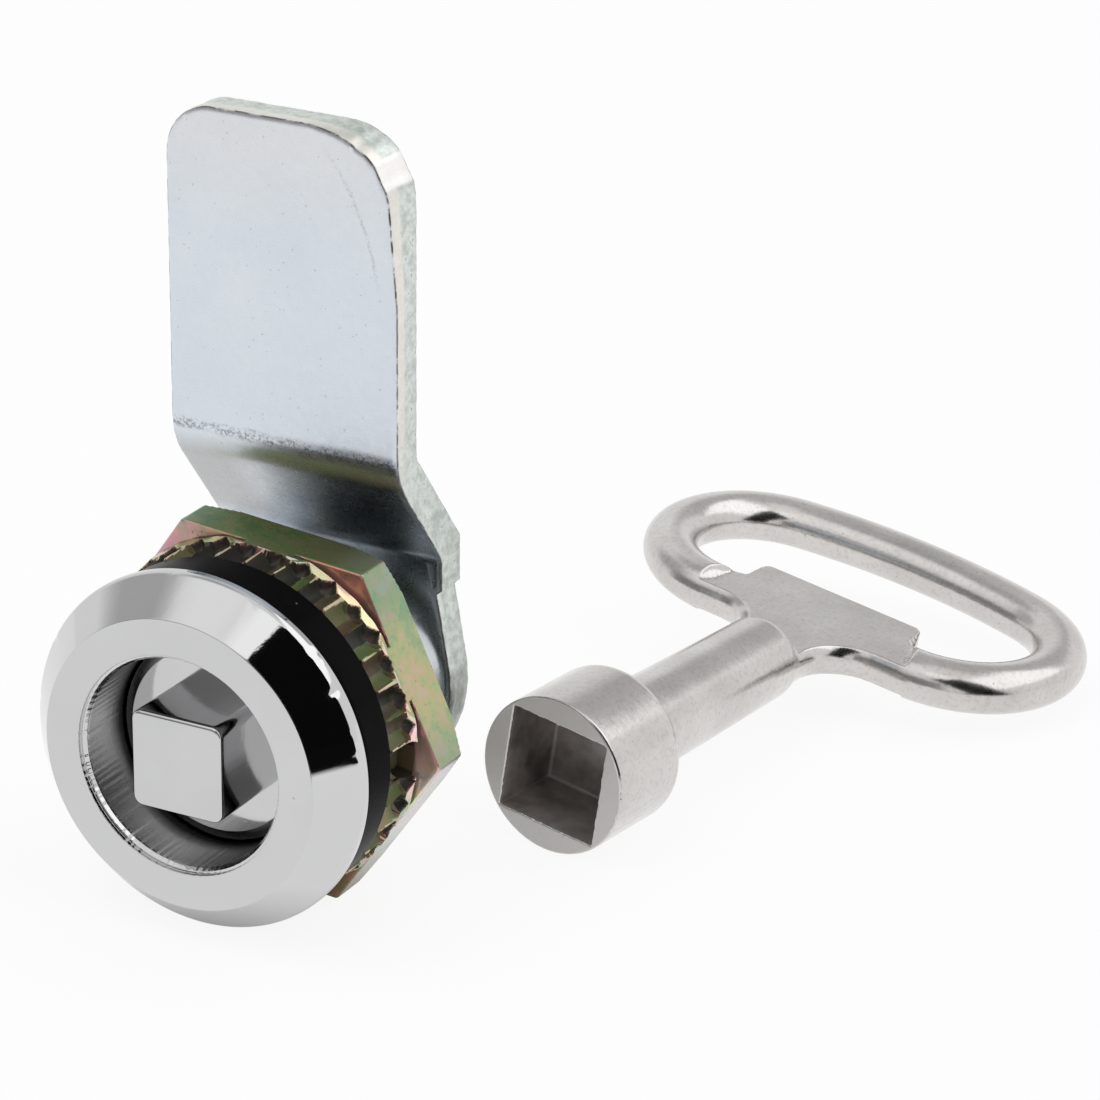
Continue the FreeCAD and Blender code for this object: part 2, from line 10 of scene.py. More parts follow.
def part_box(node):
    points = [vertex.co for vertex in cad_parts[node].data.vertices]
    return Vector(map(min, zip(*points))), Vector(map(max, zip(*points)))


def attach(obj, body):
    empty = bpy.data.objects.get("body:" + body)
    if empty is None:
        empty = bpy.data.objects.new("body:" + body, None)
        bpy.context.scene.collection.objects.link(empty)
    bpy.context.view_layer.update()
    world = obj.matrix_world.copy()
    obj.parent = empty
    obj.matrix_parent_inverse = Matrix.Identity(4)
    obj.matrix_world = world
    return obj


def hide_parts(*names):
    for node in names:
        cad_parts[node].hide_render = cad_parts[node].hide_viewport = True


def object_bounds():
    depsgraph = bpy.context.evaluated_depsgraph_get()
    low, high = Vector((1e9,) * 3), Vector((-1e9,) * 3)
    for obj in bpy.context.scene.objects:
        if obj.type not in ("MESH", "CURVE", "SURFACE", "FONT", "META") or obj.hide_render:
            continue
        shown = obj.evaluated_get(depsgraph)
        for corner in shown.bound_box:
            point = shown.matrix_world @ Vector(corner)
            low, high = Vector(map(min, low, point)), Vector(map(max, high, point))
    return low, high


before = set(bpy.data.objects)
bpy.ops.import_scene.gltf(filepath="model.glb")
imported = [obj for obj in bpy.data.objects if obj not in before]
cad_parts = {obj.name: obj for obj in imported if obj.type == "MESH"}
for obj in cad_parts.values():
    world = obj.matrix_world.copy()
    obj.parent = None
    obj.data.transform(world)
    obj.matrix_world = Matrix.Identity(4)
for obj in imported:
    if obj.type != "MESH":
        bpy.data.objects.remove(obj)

# A quarter-turn cam lock beside its socket key. Sizes are millimetres and turned into
# metres when a mesh is made. The lock's axis is Y, front towards -Y; the cam points up.
MM = 0.001
cad_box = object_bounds()


def span(node):
    low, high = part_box(node)
    return low / MM, high / MM


housing_low, housing_high = span("housing")
driver_low, driver_high = span("driver")
_, gasket_high = span("gasket")
nut_low, nut_high = span("lock_nut")
_, cam_high = span("cam")
washer_low, washer_high = span("flat_washer")
spring_low, spring_high = span("spring_washer")
screw_low, screw_high = span("cam_screw")

# Head and shank
HEAD_R = housing_high.x
FRONT = housing_low.y
RIM = 0.8
RIM_ROUND = 0.75
BEVEL = 2.6
RING_R = HEAD_R - BEVEL
RECESS_R = 8.2
RECESS_FLOOR = 3.5
LIP = 0.4
LIP_STEP = 0.3
BORE_R = 6.0
SHANK_R = 11.0
SHANK_END = 16.0
SHANK_FLATS = 20.4
THREAD_PITCH = 1.5
THREAD_ROOT_R = 10.08
THREAD_AROUND = 193
THREAD_ALONG = 161
LUG_INNER_R = 7.6
LUG_OUTER_R = 9.8
LUG_HALF_ANGLE = 20.0

# Driver
DRIVE_SQUARE = 7.65
DRIVE_CORNER = 0.8
DISC_THICKNESS = 2.2
DISC_FRONT = RECESS_FLOOR - DISC_THICKNESS
DISC_R = driver_high.x
DISC_CHAMFER = 0.9
DISC_CHAMFER_DEPTH = 0.5
SHAFT_R = 5.95
GROOVE_FROM = 8.0
GROOVE_TO = 10.0
GROOVE_DEPTH = 1.45
SEAL_R = 0.7
SHOULDER = SHANK_END + 0.05
CAM_SQUARE = 8.0
CAM_SQUARE_CORNER = 0.5
SCREW_HOLE_R = 2.5
SCREW_HOLE_DEPTH = 9.0

# Gasket, washers and screw
GASKET_FRONT_ROUND = 1.2
GASKET_BACK_ROUND = 0.22
WASHER_HOLE_R = 2.6
SPRING_START = 95.0
SPRING_TURN = 350.0
SCREW_R = 2.45
PAN_ROUND = 1.1
CROSS_HALF_WIDTH = 0.62
CROSS_REACH = 2.65
CROSS_DEPTH = 2.0

# Lock nut
NUT_FRONT = nut_low.y
NUT_BACK = nut_high.y
NUT_FLATS = 27.0
NUT_TURNED = -5.0
HEX_CORNER = 0.35
NUT_CHAMFER_R = 14.4
NUT_CHAMFER_DEPTH = 0.9
NUT_CHAMFER_SLOPE = math.tan(math.radians(30))
CROWN_R = 13.9
CROWN_LENGTH = 3.2
CROWN_END = NUT_FRONT + CROWN_LENGTH
COLLAR = 0.9
COLLAR_FLARE = 0.26
RUN_OUT = 0.65
CROWN_NECK_R = 12.9
HEX_FRONT = CROWN_END + 0.4
FLUTES = 36
FLUTE_DEPTH = 0.85
PIN_HOLE_R = 1.7
PIN_HOLE_ANGLE = -3.0
PIN_HOLE_Y = NUT_FRONT + 2.3
PIN_HOLE_DEPTH = 1.8
NUT_BORE_R = 11.05

# Cam
CAM_THICKNESS = 3.0
CAM_WIDTH = 19.5
CAM_REACH = cam_high.z
CAM_OFFSET = 6.55
CAM_FRONT = cam_high.y - CAM_THICKNESS
BEND_LOW = 10.4
BEND_HIGH = 18.7
BASE_R = 10.5
NECK_WIDTH = 17.5
SHOULDER_SLANT = 31.0
SHOULDER_DEPTH = 14.5
CORNER_LEFT = 4.0
CORNER_RIGHT = 5.4
SHEAR_START = 32.0
SHEAR_DEPTH = 0.8
CHIP_FROM = 15.0
CHIP_TO = 40.0
SQUARE_HOLE = CAM_SQUARE + 0.1
CRAZE = BEND_HIGH + 1.9
CREASE_CENTRE = (-12.0, 0.0, 30.5)
CREASE_R = 20.35

# Key, in its own frame: mouth's centre at the origin, +Y along the stem, flat web across Z
KEY_AT = (16.76, 22.78, -7.72)
KEY_YAW = 6.7
KEY_DIP = 1.15
KEY_ROLL = 7.8
KEY_HEAD_R = 6.41
KEY_HEAD_LENGTH = 8.5
KEY_HEAD_ROUND = 0.9
SOCKET_MOUTH = 8.7
SOCKET_FLOOR = 8.2
SOCKET_DEPTH = 6.3
MOUTH_WORN_AT = 34.0
MOUTH_WORN_HALF = 46.0
STEM_R = 3.85
STEM_END_R = 3.55
STEM_CROWN = 2.35
LOOP_CENTRE = 45.65
LOOP_END_R = 8.5
LOOP_END_SPREAD = 9.45
LOOP_BOW_R = 54.0
LOOP_HALF_WIDTH = 2.325
LOOP_HALF_HEIGHT = 2.08
BAR_Y = LOOP_CENTRE - LOOP_END_R
STEM_END = BAR_Y - 8.15
WEB_HALF_WIDTH = 7.6
WEB_SLANT = 0.345
WEB_HALF_THICKNESS = 1.3
WEB_INTO_LOOP = 2.85
WEB_CORNER = 0.5
WEB_EDGE = BAR_Y + LOOP_HALF_WIDTH + WEB_INTO_LOOP
FLAT_STEP = 0.15
FLAT_SLOPE = 0.6
ROOT_SPREAD = 7.5
ROOT_R = 6.3
ROOT_TAIL = 4.0
ROOT_Y = BAR_Y - ROOT_R
STEM_BLEND = 0.35
BODY_INTO_HEAD = 0.9
RIM_FROM = 1.4

# Mesh making
AROUND = 384
NUT_AROUND = 1080
KEY_HEAD_AROUND = 320
WELD = 0.002
SHARP_ANGLE = 34.0
SUPPORT = 0.05
ROUND_STEPS = 5
CORNER_STEPS = 8
KEY_VOXEL = 0.182

# Camera of the photograph
CAMERA_AT = (162.85, -252.41, 139.43)
CAMERA_AZIMUTH = 28.03
CAMERA_ELEVATION = 22.41
CAMERA_ROLL = 0.68
CAMERA_LENS = 147.3

# Stage; the card's middle and side are directions from the lock, its sizes degrees
CARD_MIDDLE = (0.714, -0.586, 0.383)
CARD_ACROSS = (0.480, 0.808, 0.343)
CARD_HALF_LENGTH = 35.8
CARD_NEAR = -20.0
CARD_FAR = 13.0
CARD_SEEN_FROM = (13.0 * MM, -3.0 * MM, 3.4 * MM)
CARD_EASES = (3, 1, 1, 1)
TENT_LEVEL = 0.92
FLOOR_HALF = 4.0

# Plain colours
CHROME = (0.60, 0.60, 0.605)
ZINC_LIGHT = (0.66, 0.69, 0.72)
ZINC_DARK = (0.58, 0.61, 0.64)
SPRING_LIGHT = (0.50, 0.51, 0.53)
SPRING_DARK = (0.40, 0.41, 0.43)


# Rings and skins

def eased(corners):
    """A closed profile of (radius, place, rounding) corners, each rounded and held by support points."""
    points = []
    count = len(corners)
    for i, (r, y, rounding) in enumerate(corners):
        here = Vector((r, y))
        if rounding == 0:
            points.append(here)
            continue
        before = Vector(corners[i - 1][:2]) - here
        after = Vector(corners[(i + 1) % count][:2]) - here
        half = before.angle(after) / 2
        run = min(rounding / math.tan(half), 0.4 * before.length, 0.4 * after.length)
        rounding = run * math.tan(half)
        before.normalize()
        after.normalize()
        centre = here + (before + after).normalized() * (rounding / math.sin(half))
        start = here + before * run - centre
        sweep = start.angle_signed(here + after * run - centre)
        points.append(here + before * (run + SUPPORT))
        for step in range(ROUND_STEPS + 1):
            turn = Matrix.Rotation(-sweep * step / ROUND_STEPS, 2)
            points.append(centre + turn @ start)
        points.append(here + after * (run + SUPPORT))
    return points


def even_angles(around):
    return np.arange(around) * 2 * math.pi / around


def ring_at(angles, radii, y):
    """A ring round the axis; radii and y may be one number or one for each angle."""
    points = np.empty((len(angles), 3))
    points[:, 0] = radii * np.cos(angles)
    points[:, 1] = y
    points[:, 2] = radii * np.sin(angles)
    return points


def circle(radius, y, around=AROUND):
    return ring_at(even_angles(around), radius, y)


def skin(rings, closed=False):
    """Quads between rings of equal count; closed joins the last ring to the first."""
    count = len(rings[0])
    vertices = np.concatenate(rings)
    pairs = [(i, i + 1) for i in range(len(rings) - 1)]
    if closed:
        pairs.append((len(rings) - 1, 0))
    step = np.arange(count)
    after = (step + 1) % count
    faces = [np.stack((a * count + step, a * count + after, b * count + after, b * count + step), 1)
             for a, b in pairs]
    return vertices, np.concatenate(faces).tolist()


def lathe(corners, closed=True, around=AROUND):
    rings = [circle(max(r, 0.0), y, around) for r, y in eased(corners)]
    return skin(rings, closed)


def joined(*parts):
    vertices = []
    faces = []
    start = 0
    for points, quads in parts:
        vertices.append(np.asarray(points))
        faces += [[v + start for v in face] for face in quads]
        start += len(points)
    return np.concatenate(vertices), faces


def dented(points, dents):
    """Presses small hollows into a surface: each has its centre, its reach and its push."""
    for centre, reach, push in dents:
        away = np.linalg.norm(points - np.array(centre), axis=1)
        points = points + np.outer(np.clip(1 - (away / reach) ** 2, 0, 1) ** 2, push)
    return points


def finish_mesh(mesh, sharp=SHARP_ANGLE):
    bm = bmesh.new()
    bm.from_mesh(mesh)
    bmesh.ops.remove_doubles(bm, verts=bm.verts, dist=WELD * MM)
    bmesh.ops.dissolve_degenerate(bm, dist=WELD * MM / 2, edges=bm.edges)
    bmesh.ops.recalc_face_normals(bm, faces=bm.faces)
    bm.to_mesh(mesh)
    bm.free()
    mesh.shade_smooth()
    mesh.set_sharp_from_angle(angle=math.radians(sharp))


def piece(name, shape, finish, body, nodes=(), sharp=SHARP_ANGLE, marks=None):
    """A finished object from (points in millimetres, faces), riding its body in place of CAD nodes.

    marks gives named values for each point, which the finish reads."""
    vertices, faces = shape
    mesh = bpy.data.meshes.new(name)
    mesh.from_pydata((np.asarray(vertices) * MM).tolist(), [], faces)
    for label, values in (marks or {}).items():
        mesh.attributes.new(label, "FLOAT", "POINT").data.foreach_set("value", values)
    finish_mesh(mesh, sharp=sharp)
    mesh.materials.append(finish)
    thing = bpy.data.objects.new(name, mesh)
    bpy.context.scene.collection.objects.link(thing)
    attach(thing, body)
    if nodes:
        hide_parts(*nodes)
    return thing


def rounded_square(side, corner, y, inset):
    """A square ring round the axis with rounded corners, drawn in by an inset."""
    half = side / 2 - inset
    radius = max(corner - inset, 0.02)
    points = []
    for quarter in range(4):
        centre = Vector((half - radius, half - radius))
        for step in range(CORNER_STEPS + 1):
            angle = math.pi / 2 * step / CORNER_STEPS
            p = centre + radius * Vector((math.cos(angle), math.sin(angle)))
            p = Matrix.Rotation(math.pi / 2 * quarter, 2) @ p
            points.append((p.x, y, p.y))
    return np.array(points)


def round_like(ring, radius, y):
    """A circle with a point at the same angle as each point of another ring."""
    reach = np.hypot(ring[:, 0], ring[:, 2])
    result = ring * (radius / reach)[:, None]
    result[:, 1] = y
    return result


def prism(rings):
    """A solid through rings, with a flat first end and a flat last end."""
    vertices, faces = skin(rings)
    count = len(rings[0])
    last = (len(rings) - 1) * count
    return vertices, faces + [list(range(count)), [last + i for i in range(count)][::-1]]


# Node helpers

class Wires:
    """Adds nodes to a tree and joins them, so that a pattern reads as a few lines."""

    def __init__(self, tree):
        self.tree = tree

    def put(self, socket, value):
        if isinstance(value, bpy.types.NodeSocket):
            self.tree.links.new(value, socket)
        elif value is not None:
            socket.default_value = value

    def node(self, kind, inputs=(), **settings):
        made = self.tree.nodes.new(kind)
        for name, value in settings.items():
            setattr(made, name, value)
        for name, value in dict(inputs).items():
            self.put(made.inputs[name], value)
        return made

    def math(self, operation, a, b=None, c=None, clamp=False):
        made = self.tree.nodes.new("ShaderNodeMath")
        made.operation = operation
        made.use_clamp = clamp
        for socket, value in zip(made.inputs, (a, b, c)):
            self.put(socket, value)
        return made.outputs[0]

    def line(self, value, slope, start, clamp=False):
        """A number times a slope, plus a start."""
        return self.math("MULTIPLY_ADD", value, slope, start, clamp)

    def times(self, *values):
        result = values[0]
        for value in values[1:]:
            result = self.math("MULTIPLY", result, value)
        return result

    def blend(self, factor, a, b):
        """Between two numbers."""
        return self.node("ShaderNodeMix", {"Factor": factor, "A": a, "B": b}).outputs["Result"]

    def vector_math(self, operation, a, b):
        made = self.tree.nodes.new("ShaderNodeVectorMath")
        made.operation = operation
        for socket, value in zip(made.inputs, (a, b)):
            self.put(socket, value)
        return made.outputs

    def turn(self, operation, a, b=None):
        """Vector maths, as a vector."""
        return self.vector_math(operation, a, b)["Vector"]

    def measure(self, operation, a, b=None):
        """Vector maths, as a number."""
        return self.vector_math(operation, a, b)["Value"]

    def place(self):
        """Where the surface lies, in metres, in the piece's own frame."""
        return self.node("ShaderNodeTexCoord").outputs["Object"]

    def mark(self, name):
        return self.node("ShaderNodeAttribute", attribute_name=name).outputs["Fac"]

    def split(self, vector):
        return self.node("ShaderNodeSeparateXYZ", {"Vector": vector}).outputs

    def vector(self, x, y, z):
        return self.node("ShaderNodeCombineXYZ", {"X": x, "Y": y, "Z": z}).outputs[0]

    def noise(self, vector, scale, detail=3.0, rough=0.5):
        made = self.node("ShaderNodeTexNoise", {"Vector": vector, "Scale": scale})
        made.inputs["Detail"].default_value = detail
        made.inputs["Roughness"].default_value = rough
        return made.outputs["Fac"]

    def ramp(self, value, stops):
        """A colour ramp from (position, colour) stops."""
        made = self.node("ShaderNodeValToRGB", {"Fac": value})
        elements = made.color_ramp.elements
        while len(elements) < len(stops):
            elements.new(0.5)
        for element, (position, colour) in zip(elements, stops):
            element.position = position
            element.color = (*colour, 1.0)
        return made.outputs["Color"]

    def span(self, value, low, high, to_low=0.0, to_high=1.0):
        """Carries low..high to to_low..to_high, and stays there beyond."""
        made = self.node("ShaderNodeMapRange", {"Value": value})
        for name, number in (("From Min", low), ("From Max", high), ("To Min", to_low), ("To Max", to_high)):
            self.put(made.inputs[name], number)
        return made.outputs["Result"]

    def mix(self, factor, a, b, kind="MIX"):
        """Between two colours."""
        made = self.node("ShaderNodeMix", data_type="RGBA", blend_type=kind)
        self.put(made.inputs["Factor"], factor)
        for name, colour in (("A", a), ("B", b)):
            self.put(made.inputs[name], (*colour, 1.0) if isinstance(colour, tuple) else colour)
        return made.outputs["Result"]


def new_group(name, inputs, output):
    """A shader node group with number inputs {name: value} and one number output."""
    tree = bpy.data.node_groups.new(name, "ShaderNodeTree")
    for label, value in inputs.items():
        socket = tree.interface.new_socket(label, in_out="INPUT", socket_type="NodeSocketFloat")
        socket.default_value = value
    tree.interface.new_socket(output, in_out="OUTPUT", socket_type="NodeSocketFloat")
    wires = Wires(tree)
    start = tree.nodes.new("NodeGroupInput")
    end = tree.nodes.new("NodeGroupOutput")
    return wires, start.outputs, end.inputs[output]


def group(wires, name, **values):
    """Places a shader group with its own values and gives its output."""
    made = wires.node("ShaderNodeGroup")
    made.node_tree = bpy.data.node_groups[name]
    for label, value in values.items():
        wires.put(made.inputs[label.capitalize()], value)
    return made.outputs[0]


def metal(name):
    """A new finish, metal until its maker says otherwise; returns (material, wires, shader)."""
    made = bpy.data.materials.new(name)
    made.use_nodes = True
    shader = made.node_tree.nodes["Principled BSDF"]
    shader.inputs["Metallic"].default_value = 1.0
    return made, Wires(made.node_tree), shader


def bump(wires, shader, height, strength, distance):
    made = wires.node("ShaderNodeBump", {"Height": height})
    made.inputs["Strength"].default_value = strength
    made.inputs["Distance"].default_value = distance * MM
    wires.put(shader.inputs["Normal"], made.outputs["Normal"])


def build_groups():
    """The wear and grain that several finishes share."""
    wires, start, end = new_group("fine_scratches", {"Scale": 600.0, "Stretch": 12.0, "Amount": 0.5}, "Mask")
    x, y, z = wires.split(wires.place())
    slim = wires.vector(x, wires.math("DIVIDE", y, start["Stretch"]), z)
    tilted = wires.vector(wires.math("ADD", x, z), y, wires.math("DIVIDE", z, start["Stretch"]))
    lengthways = wires.noise(slim, start["Scale"], 2.0)
    slanting = wires.noise(tilted, start["Scale"], 2.0)
    both = wires.math("MAXIMUM", lengthways, slanting)
    wires.put(end, wires.times(wires.span(both, 0.62, 0.72), start["Amount"]))

    wires, start, end = new_group("pits", {"Scale": 2000.0, "Size": 0.3, "Share": 0.1}, "Mask")
    place = wires.place()
    sway = wires.node("ShaderNodeTexNoise", {"Vector": place, "Scale": start["Scale"]}).outputs["Color"]
    shift = wires.node("ShaderNodeVectorMath", {"Vector": sway, "Scale": 0.35 * MM}, operation="SCALE")
    swayed = wires.turn("ADD", place, shift.outputs["Vector"])
    cells = wires.node("ShaderNodeTexVoronoi", {"Vector": swayed, "Scale": start["Scale"]})
    near = wires.span(cells.outputs["Distance"], start["Size"], wires.times(start["Size"], 0.6))
    chosen = wires.math("LESS_THAN", wires.split(cells.outputs["Color"])[0], start["Share"])
    wires.put(end, wires.times(near, chosen))

    wires, start, end = new_group("satin_grain", {"Scale": 1800.0, "Depth": 1.0}, "Height")
    place = wires.place()
    coarse = wires.noise(place, start["Scale"], 2.0, 0.6)
    fine = wires.noise(place, wires.times(start["Scale"], 3.1), 2.0, 0.6)
    wires.put(end, wires.times(wires.line(fine, 0.5, coarse), start["Depth"]))


def chrome_head(name, tint):
    """Chrome on the casting: brushed front ring, wavy bevel, tool marks and painted shade down the recess
    wall.
    """
    made, wires, shader = metal(name)
    place = wires.place()
    x, y, z = wires.split(place)
    cloud = wires.noise(place, 140.0, 3.0)
    ring = wires.span(y, (FRONT + 0.12) * MM, (FRONT + 0.03) * MM)
    radius = wires.math("SQRT", wires.math("ADD", wires.times(x, x), wires.times(z, z)))
    recess = wires.times(wires.span(radius, (RECESS_R + 0.15) * MM, (RECESS_R + 0.05) * MM),
                         wires.span(y, (FRONT + 2 * LIP_STEP) * MM, (FRONT + 3 * LIP_STEP) * MM))
    upper = wires.times(wires.span(z, 8.5 * MM, 10.5 * MM), wires.math("SUBTRACT", 1.0, ring))
    # Painted shade: the recess wall is darkened towards its depth.
    recess_painted_shade = wires.times(wires.span(wires.line(cloud, 1.2 * MM, y), 0.5 * MM, 1.9 * MM), recess)
    spots = group(wires, "pits", scale=900.0, size=0.11, share=0.10)
    colour = wires.mix(wires.span(cloud, 0.3, 0.7), tint, tuple(1.04 * c for c in tint))
    colour = wires.mix(wires.times(recess_painted_shade, 0.9), colour, (0.02, 0.02, 0.02))
    wires.put(shader.inputs["Base Color"], wires.mix(wires.times(spots, 0.4), colour, (0.2, 0.2, 0.2)))
    marks = group(wires, "fine_scratches", scale=500.0, stretch=10.0, amount=0.6)
    polish = wires.line(marks, 0.05, 0.045)
    dull = wires.line(ring, 0.16, wires.times(recess, 0.24))
    wires.put(shader.inputs["Roughness"], wires.math("ADD", polish, dull))
    waves = wires.times(wires.noise(place, 800.0, 3.0, 0.6), upper)
    lines = wires.times(wires.noise(wires.vector(x, wires.times(y, 0.03), z), 5200.0, 2.0), recess)
    grain = wires.times(group(wires, "satin_grain", scale=2600.0, depth=0.05), ring)
    relief = wires.line(waves, 0.75, wires.line(lines, 0.14, grain))
    bump(wires, shader, wires.line(spots, -0.25, relief), 0.5, 0.02)
    return made


def chrome(name, tint):
    """Bright chrome with faint polish marks and pits."""
    made, wires, shader = metal(name)
    place = wires.place()
    cloud = wires.noise(place, 160.0, 3.0)
    marks = group(wires, "fine_scratches", scale=500.0, stretch=10.0, amount=0.6)
    spots = group(wires, "pits", scale=1100.0, size=0.11, share=0.10)
    colour = wires.mix(wires.span(cloud, 0.3, 0.7), tuple(0.94 * c for c in tint), tint)
    wires.put(shader.inputs["Base Color"], wires.mix(wires.times(spots, 0.5), colour, (0.2, 0.2, 0.2)))
    wires.put(shader.inputs["Roughness"], wires.line(marks, 0.06, wires.line(cloud, 0.05, 0.06)))
    waves = wires.line(wires.noise(place, 420.0, 2.0), 0.9, wires.times(spots, -0.4))
    bump(wires, shader, wires.line(marks, -0.25, waves), 0.4, 0.02)
    return made


def rubber(name):
    """Smooth black rubber with a soft shine and specks of dust."""
    made, wires, shader = metal(name)
    shader.inputs["Metallic"].default_value = 0.0
    shader.inputs["Specular IOR Level"].default_value = 0.02
    cloud = wires.noise(wires.place(), 300.0, 4.0)
    spots = group(wires, "pits", scale=600.0, size=0.09, share=0.05)
    black = wires.mix(wires.span(cloud, 0.3, 0.7), (0.0025, 0.0022, 0.0026), (0.005, 0.0046, 0.005))
    wires.put(shader.inputs["Base Color"], wires.mix(spots, black, (0.35, 0.35, 0.35)))
    wires.put(shader.inputs["Roughness"], wires.line(cloud, 0.22, 0.18))
    bump(wires, shader, cloud, 0.15, 0.03)
    return made


def zinc(name, light, dark, roughness=0.24):
    """Clear zinc on steel: a pale bloom with fine pits and handling scratches."""
    made, wires, shader = metal(name)
    place = wires.place()
    cloud = wires.noise(place, 90.0, 4.0, 0.6)
    grain = group(wires, "satin_grain", scale=1500.0, depth=0.6)
    marks = group(wires, "fine_scratches", scale=450.0, stretch=14.0, amount=0.8)
    spots = group(wires, "pits", scale=2400.0, size=0.20, share=0.10)
    colour = wires.mix(wires.span(cloud, 0.3, 0.7), dark, light)
    wires.put(shader.inputs["Base Color"], wires.mix(wires.times(spots, 0.5), colour, (0.2, 0.21, 0.22)))
    wires.put(shader.inputs["Roughness"], wires.line(marks, 0.1, wires.line(grain, 0.08, roughness - 0.03)))
    relief = wires.math("SUBTRACT", grain, wires.line(marks, 0.4, spots))
    bump(wires, shader, relief, 0.25, 0.03)
    return made


def cam_face(wires, place, depth, spots):
    """Colour of the cam's faces: clouded and pitted, crazed at the bend, creased under the far corner, with
    painted shade beside the nut, on the slant's left part and along the crease.
    """
    x, _, z = wires.split(place)
    cloud = wires.noise(place, 110.0, 4.0, 0.6)
    fine = wires.noise(place, 4200.0, 4.0, 0.7)
    face = wires.mix(wires.span(cloud, 0.3, 0.7), (0.66, 0.71, 0.77), (0.71, 0.755, 0.80))
    face = wires.mix(wires.span(z, 36.0 * MM, 44.0 * MM, 0.0, 0.5), face, (0.76, 0.74, 0.74))
    # Painted shade and reflection: beside and below the nut the face is darkened, as if reflecting the dark
    # nut.
    shaded = wires.times(wires.span(x, -4.0 * MM, 5.0 * MM), wires.span(z, -14.0 * MM, -7.0 * MM),
                         wires.span(z, 20.0 * MM, 18.0 * MM))
    face = wires.mix(wires.times(shaded, 0.8), face, (0.11, 0.135, 0.14))
    # Painted shade: the left part of the slanted face is greyed.
    slope = wires.times(wires.span(x, -1.0 * MM, -6.0 * MM), wires.span(z, 10.5 * MM, 12.0 * MM),
                        wires.span(z, 19.5 * MM, 17.5 * MM))
    face = wires.mix(wires.times(slope, 0.85), face, (0.45, 0.45, 0.45))
    height = wires.line(wires.noise(place, 700.0, 3.0), 1.2 * MM, z)
    crazed = wires.times(wires.span(height, (CRAZE - 0.5) * MM, CRAZE * MM),
                         wires.span(height, (CRAZE + 0.7) * MM, (CRAZE + 0.1) * MM))
    front = wires.span(depth, 0.6, 0.4)
    crazed = wires.times(crazed, wires.span(fine, 0.46, 0.60), front, 0.75)
    face = wires.mix(wires.math("MAXIMUM", wires.times(spots, 0.25), crazed), face, (0.10, 0.10, 0.12))
    # Painted shade along the crease, drawn as a thin dark line.
    bend = wires.measure("DISTANCE", wires.vector(x, 0.0, z), tuple(c * MM for c in CREASE_CENTRE))
    near = wires.math("ABSOLUTE", wires.math("SUBTRACT", bend, CREASE_R * MM))
    crease = wires.times(wires.span(near, 0.22 * MM, 0.04 * MM), wires.span(fine, 0.42, 0.60),
                         wires.span(x, 3.5 * MM, 5.5 * MM), wires.span(z, 33.0 * MM, 35.0 * MM))
    return wires.mix(wires.times(crease, front, 0.4), face, (0.25, 0.26, 0.28))


def cam_side(wires, place, depth, rough):
    """Colour of the cam's sheared sides: torn and specked, creamy along the clean cut, bare on the chip."""
    z = wires.split(place)[2]
    torn = wires.mix(wires.span(rough, 0.35, 0.65), (0.52, 0.57, 0.53), (0.80, 0.84, 0.81))
    cream = wires.times(wires.span(depth, 0.42, 0.34), wires.span(z, 16.0 * MM, 24.0 * MM))
    side = wires.mix(wires.times(cream, 0.7), torn, (0.88, 0.84, 0.78))
    specks = wires.times(wires.span(rough, 0.63, 0.70), wires.span(depth, 0.25, 0.6))
    side = wires.mix(wires.times(specks, 0.6), side, (0.16, 0.15, 0.14))
    return wires.mix(wires.mark("chip"), side, (0.97, 0.95, 0.93))


def blue_zinc(name):
    """The cam's bluish zinc, with a dark broken line along its edges.

    Reads edge (0 on the faces, 1 on the sheared sides), depth (0 front to 1 back) and chip."""
    made, wires, shader = metal(name)
    place = wires.place()
    edge = wires.mark("edge")
    depth = wires.mark("depth")
    rough = wires.noise(place, 1500.0, 4.0, 0.65)
    spots = group(wires, "pits", scale=2600.0, size=0.22, share=0.12)
    face = cam_face(wires, place, depth, spots)
    side = cam_side(wires, place, depth, rough)
    colour = wires.mix(wires.span(edge, 0.45, 0.75), face, side)
    corner = wires.times(wires.span(edge, 0.10, 0.35), wires.span(edge, 0.90, 0.60))
    broken = wires.times(corner, wires.span(wires.noise(place, 900.0, 3.0, 0.6), 0.42, 0.54))
    wires.put(shader.inputs["Base Color"], wires.mix(wires.times(broken, 0.85), colour, (0.11, 0.09, 0.08)))
    gloss = wires.line(rough, 0.16, 0.20)
    wires.put(shader.inputs["Roughness"], wires.line(edge, 0.14, gloss))
    relief = wires.times(rough, wires.line(edge, 1.6, 0.3))
    bump(wires, shader, wires.line(spots, -0.4, relief), 0.5, 0.03)
    return made


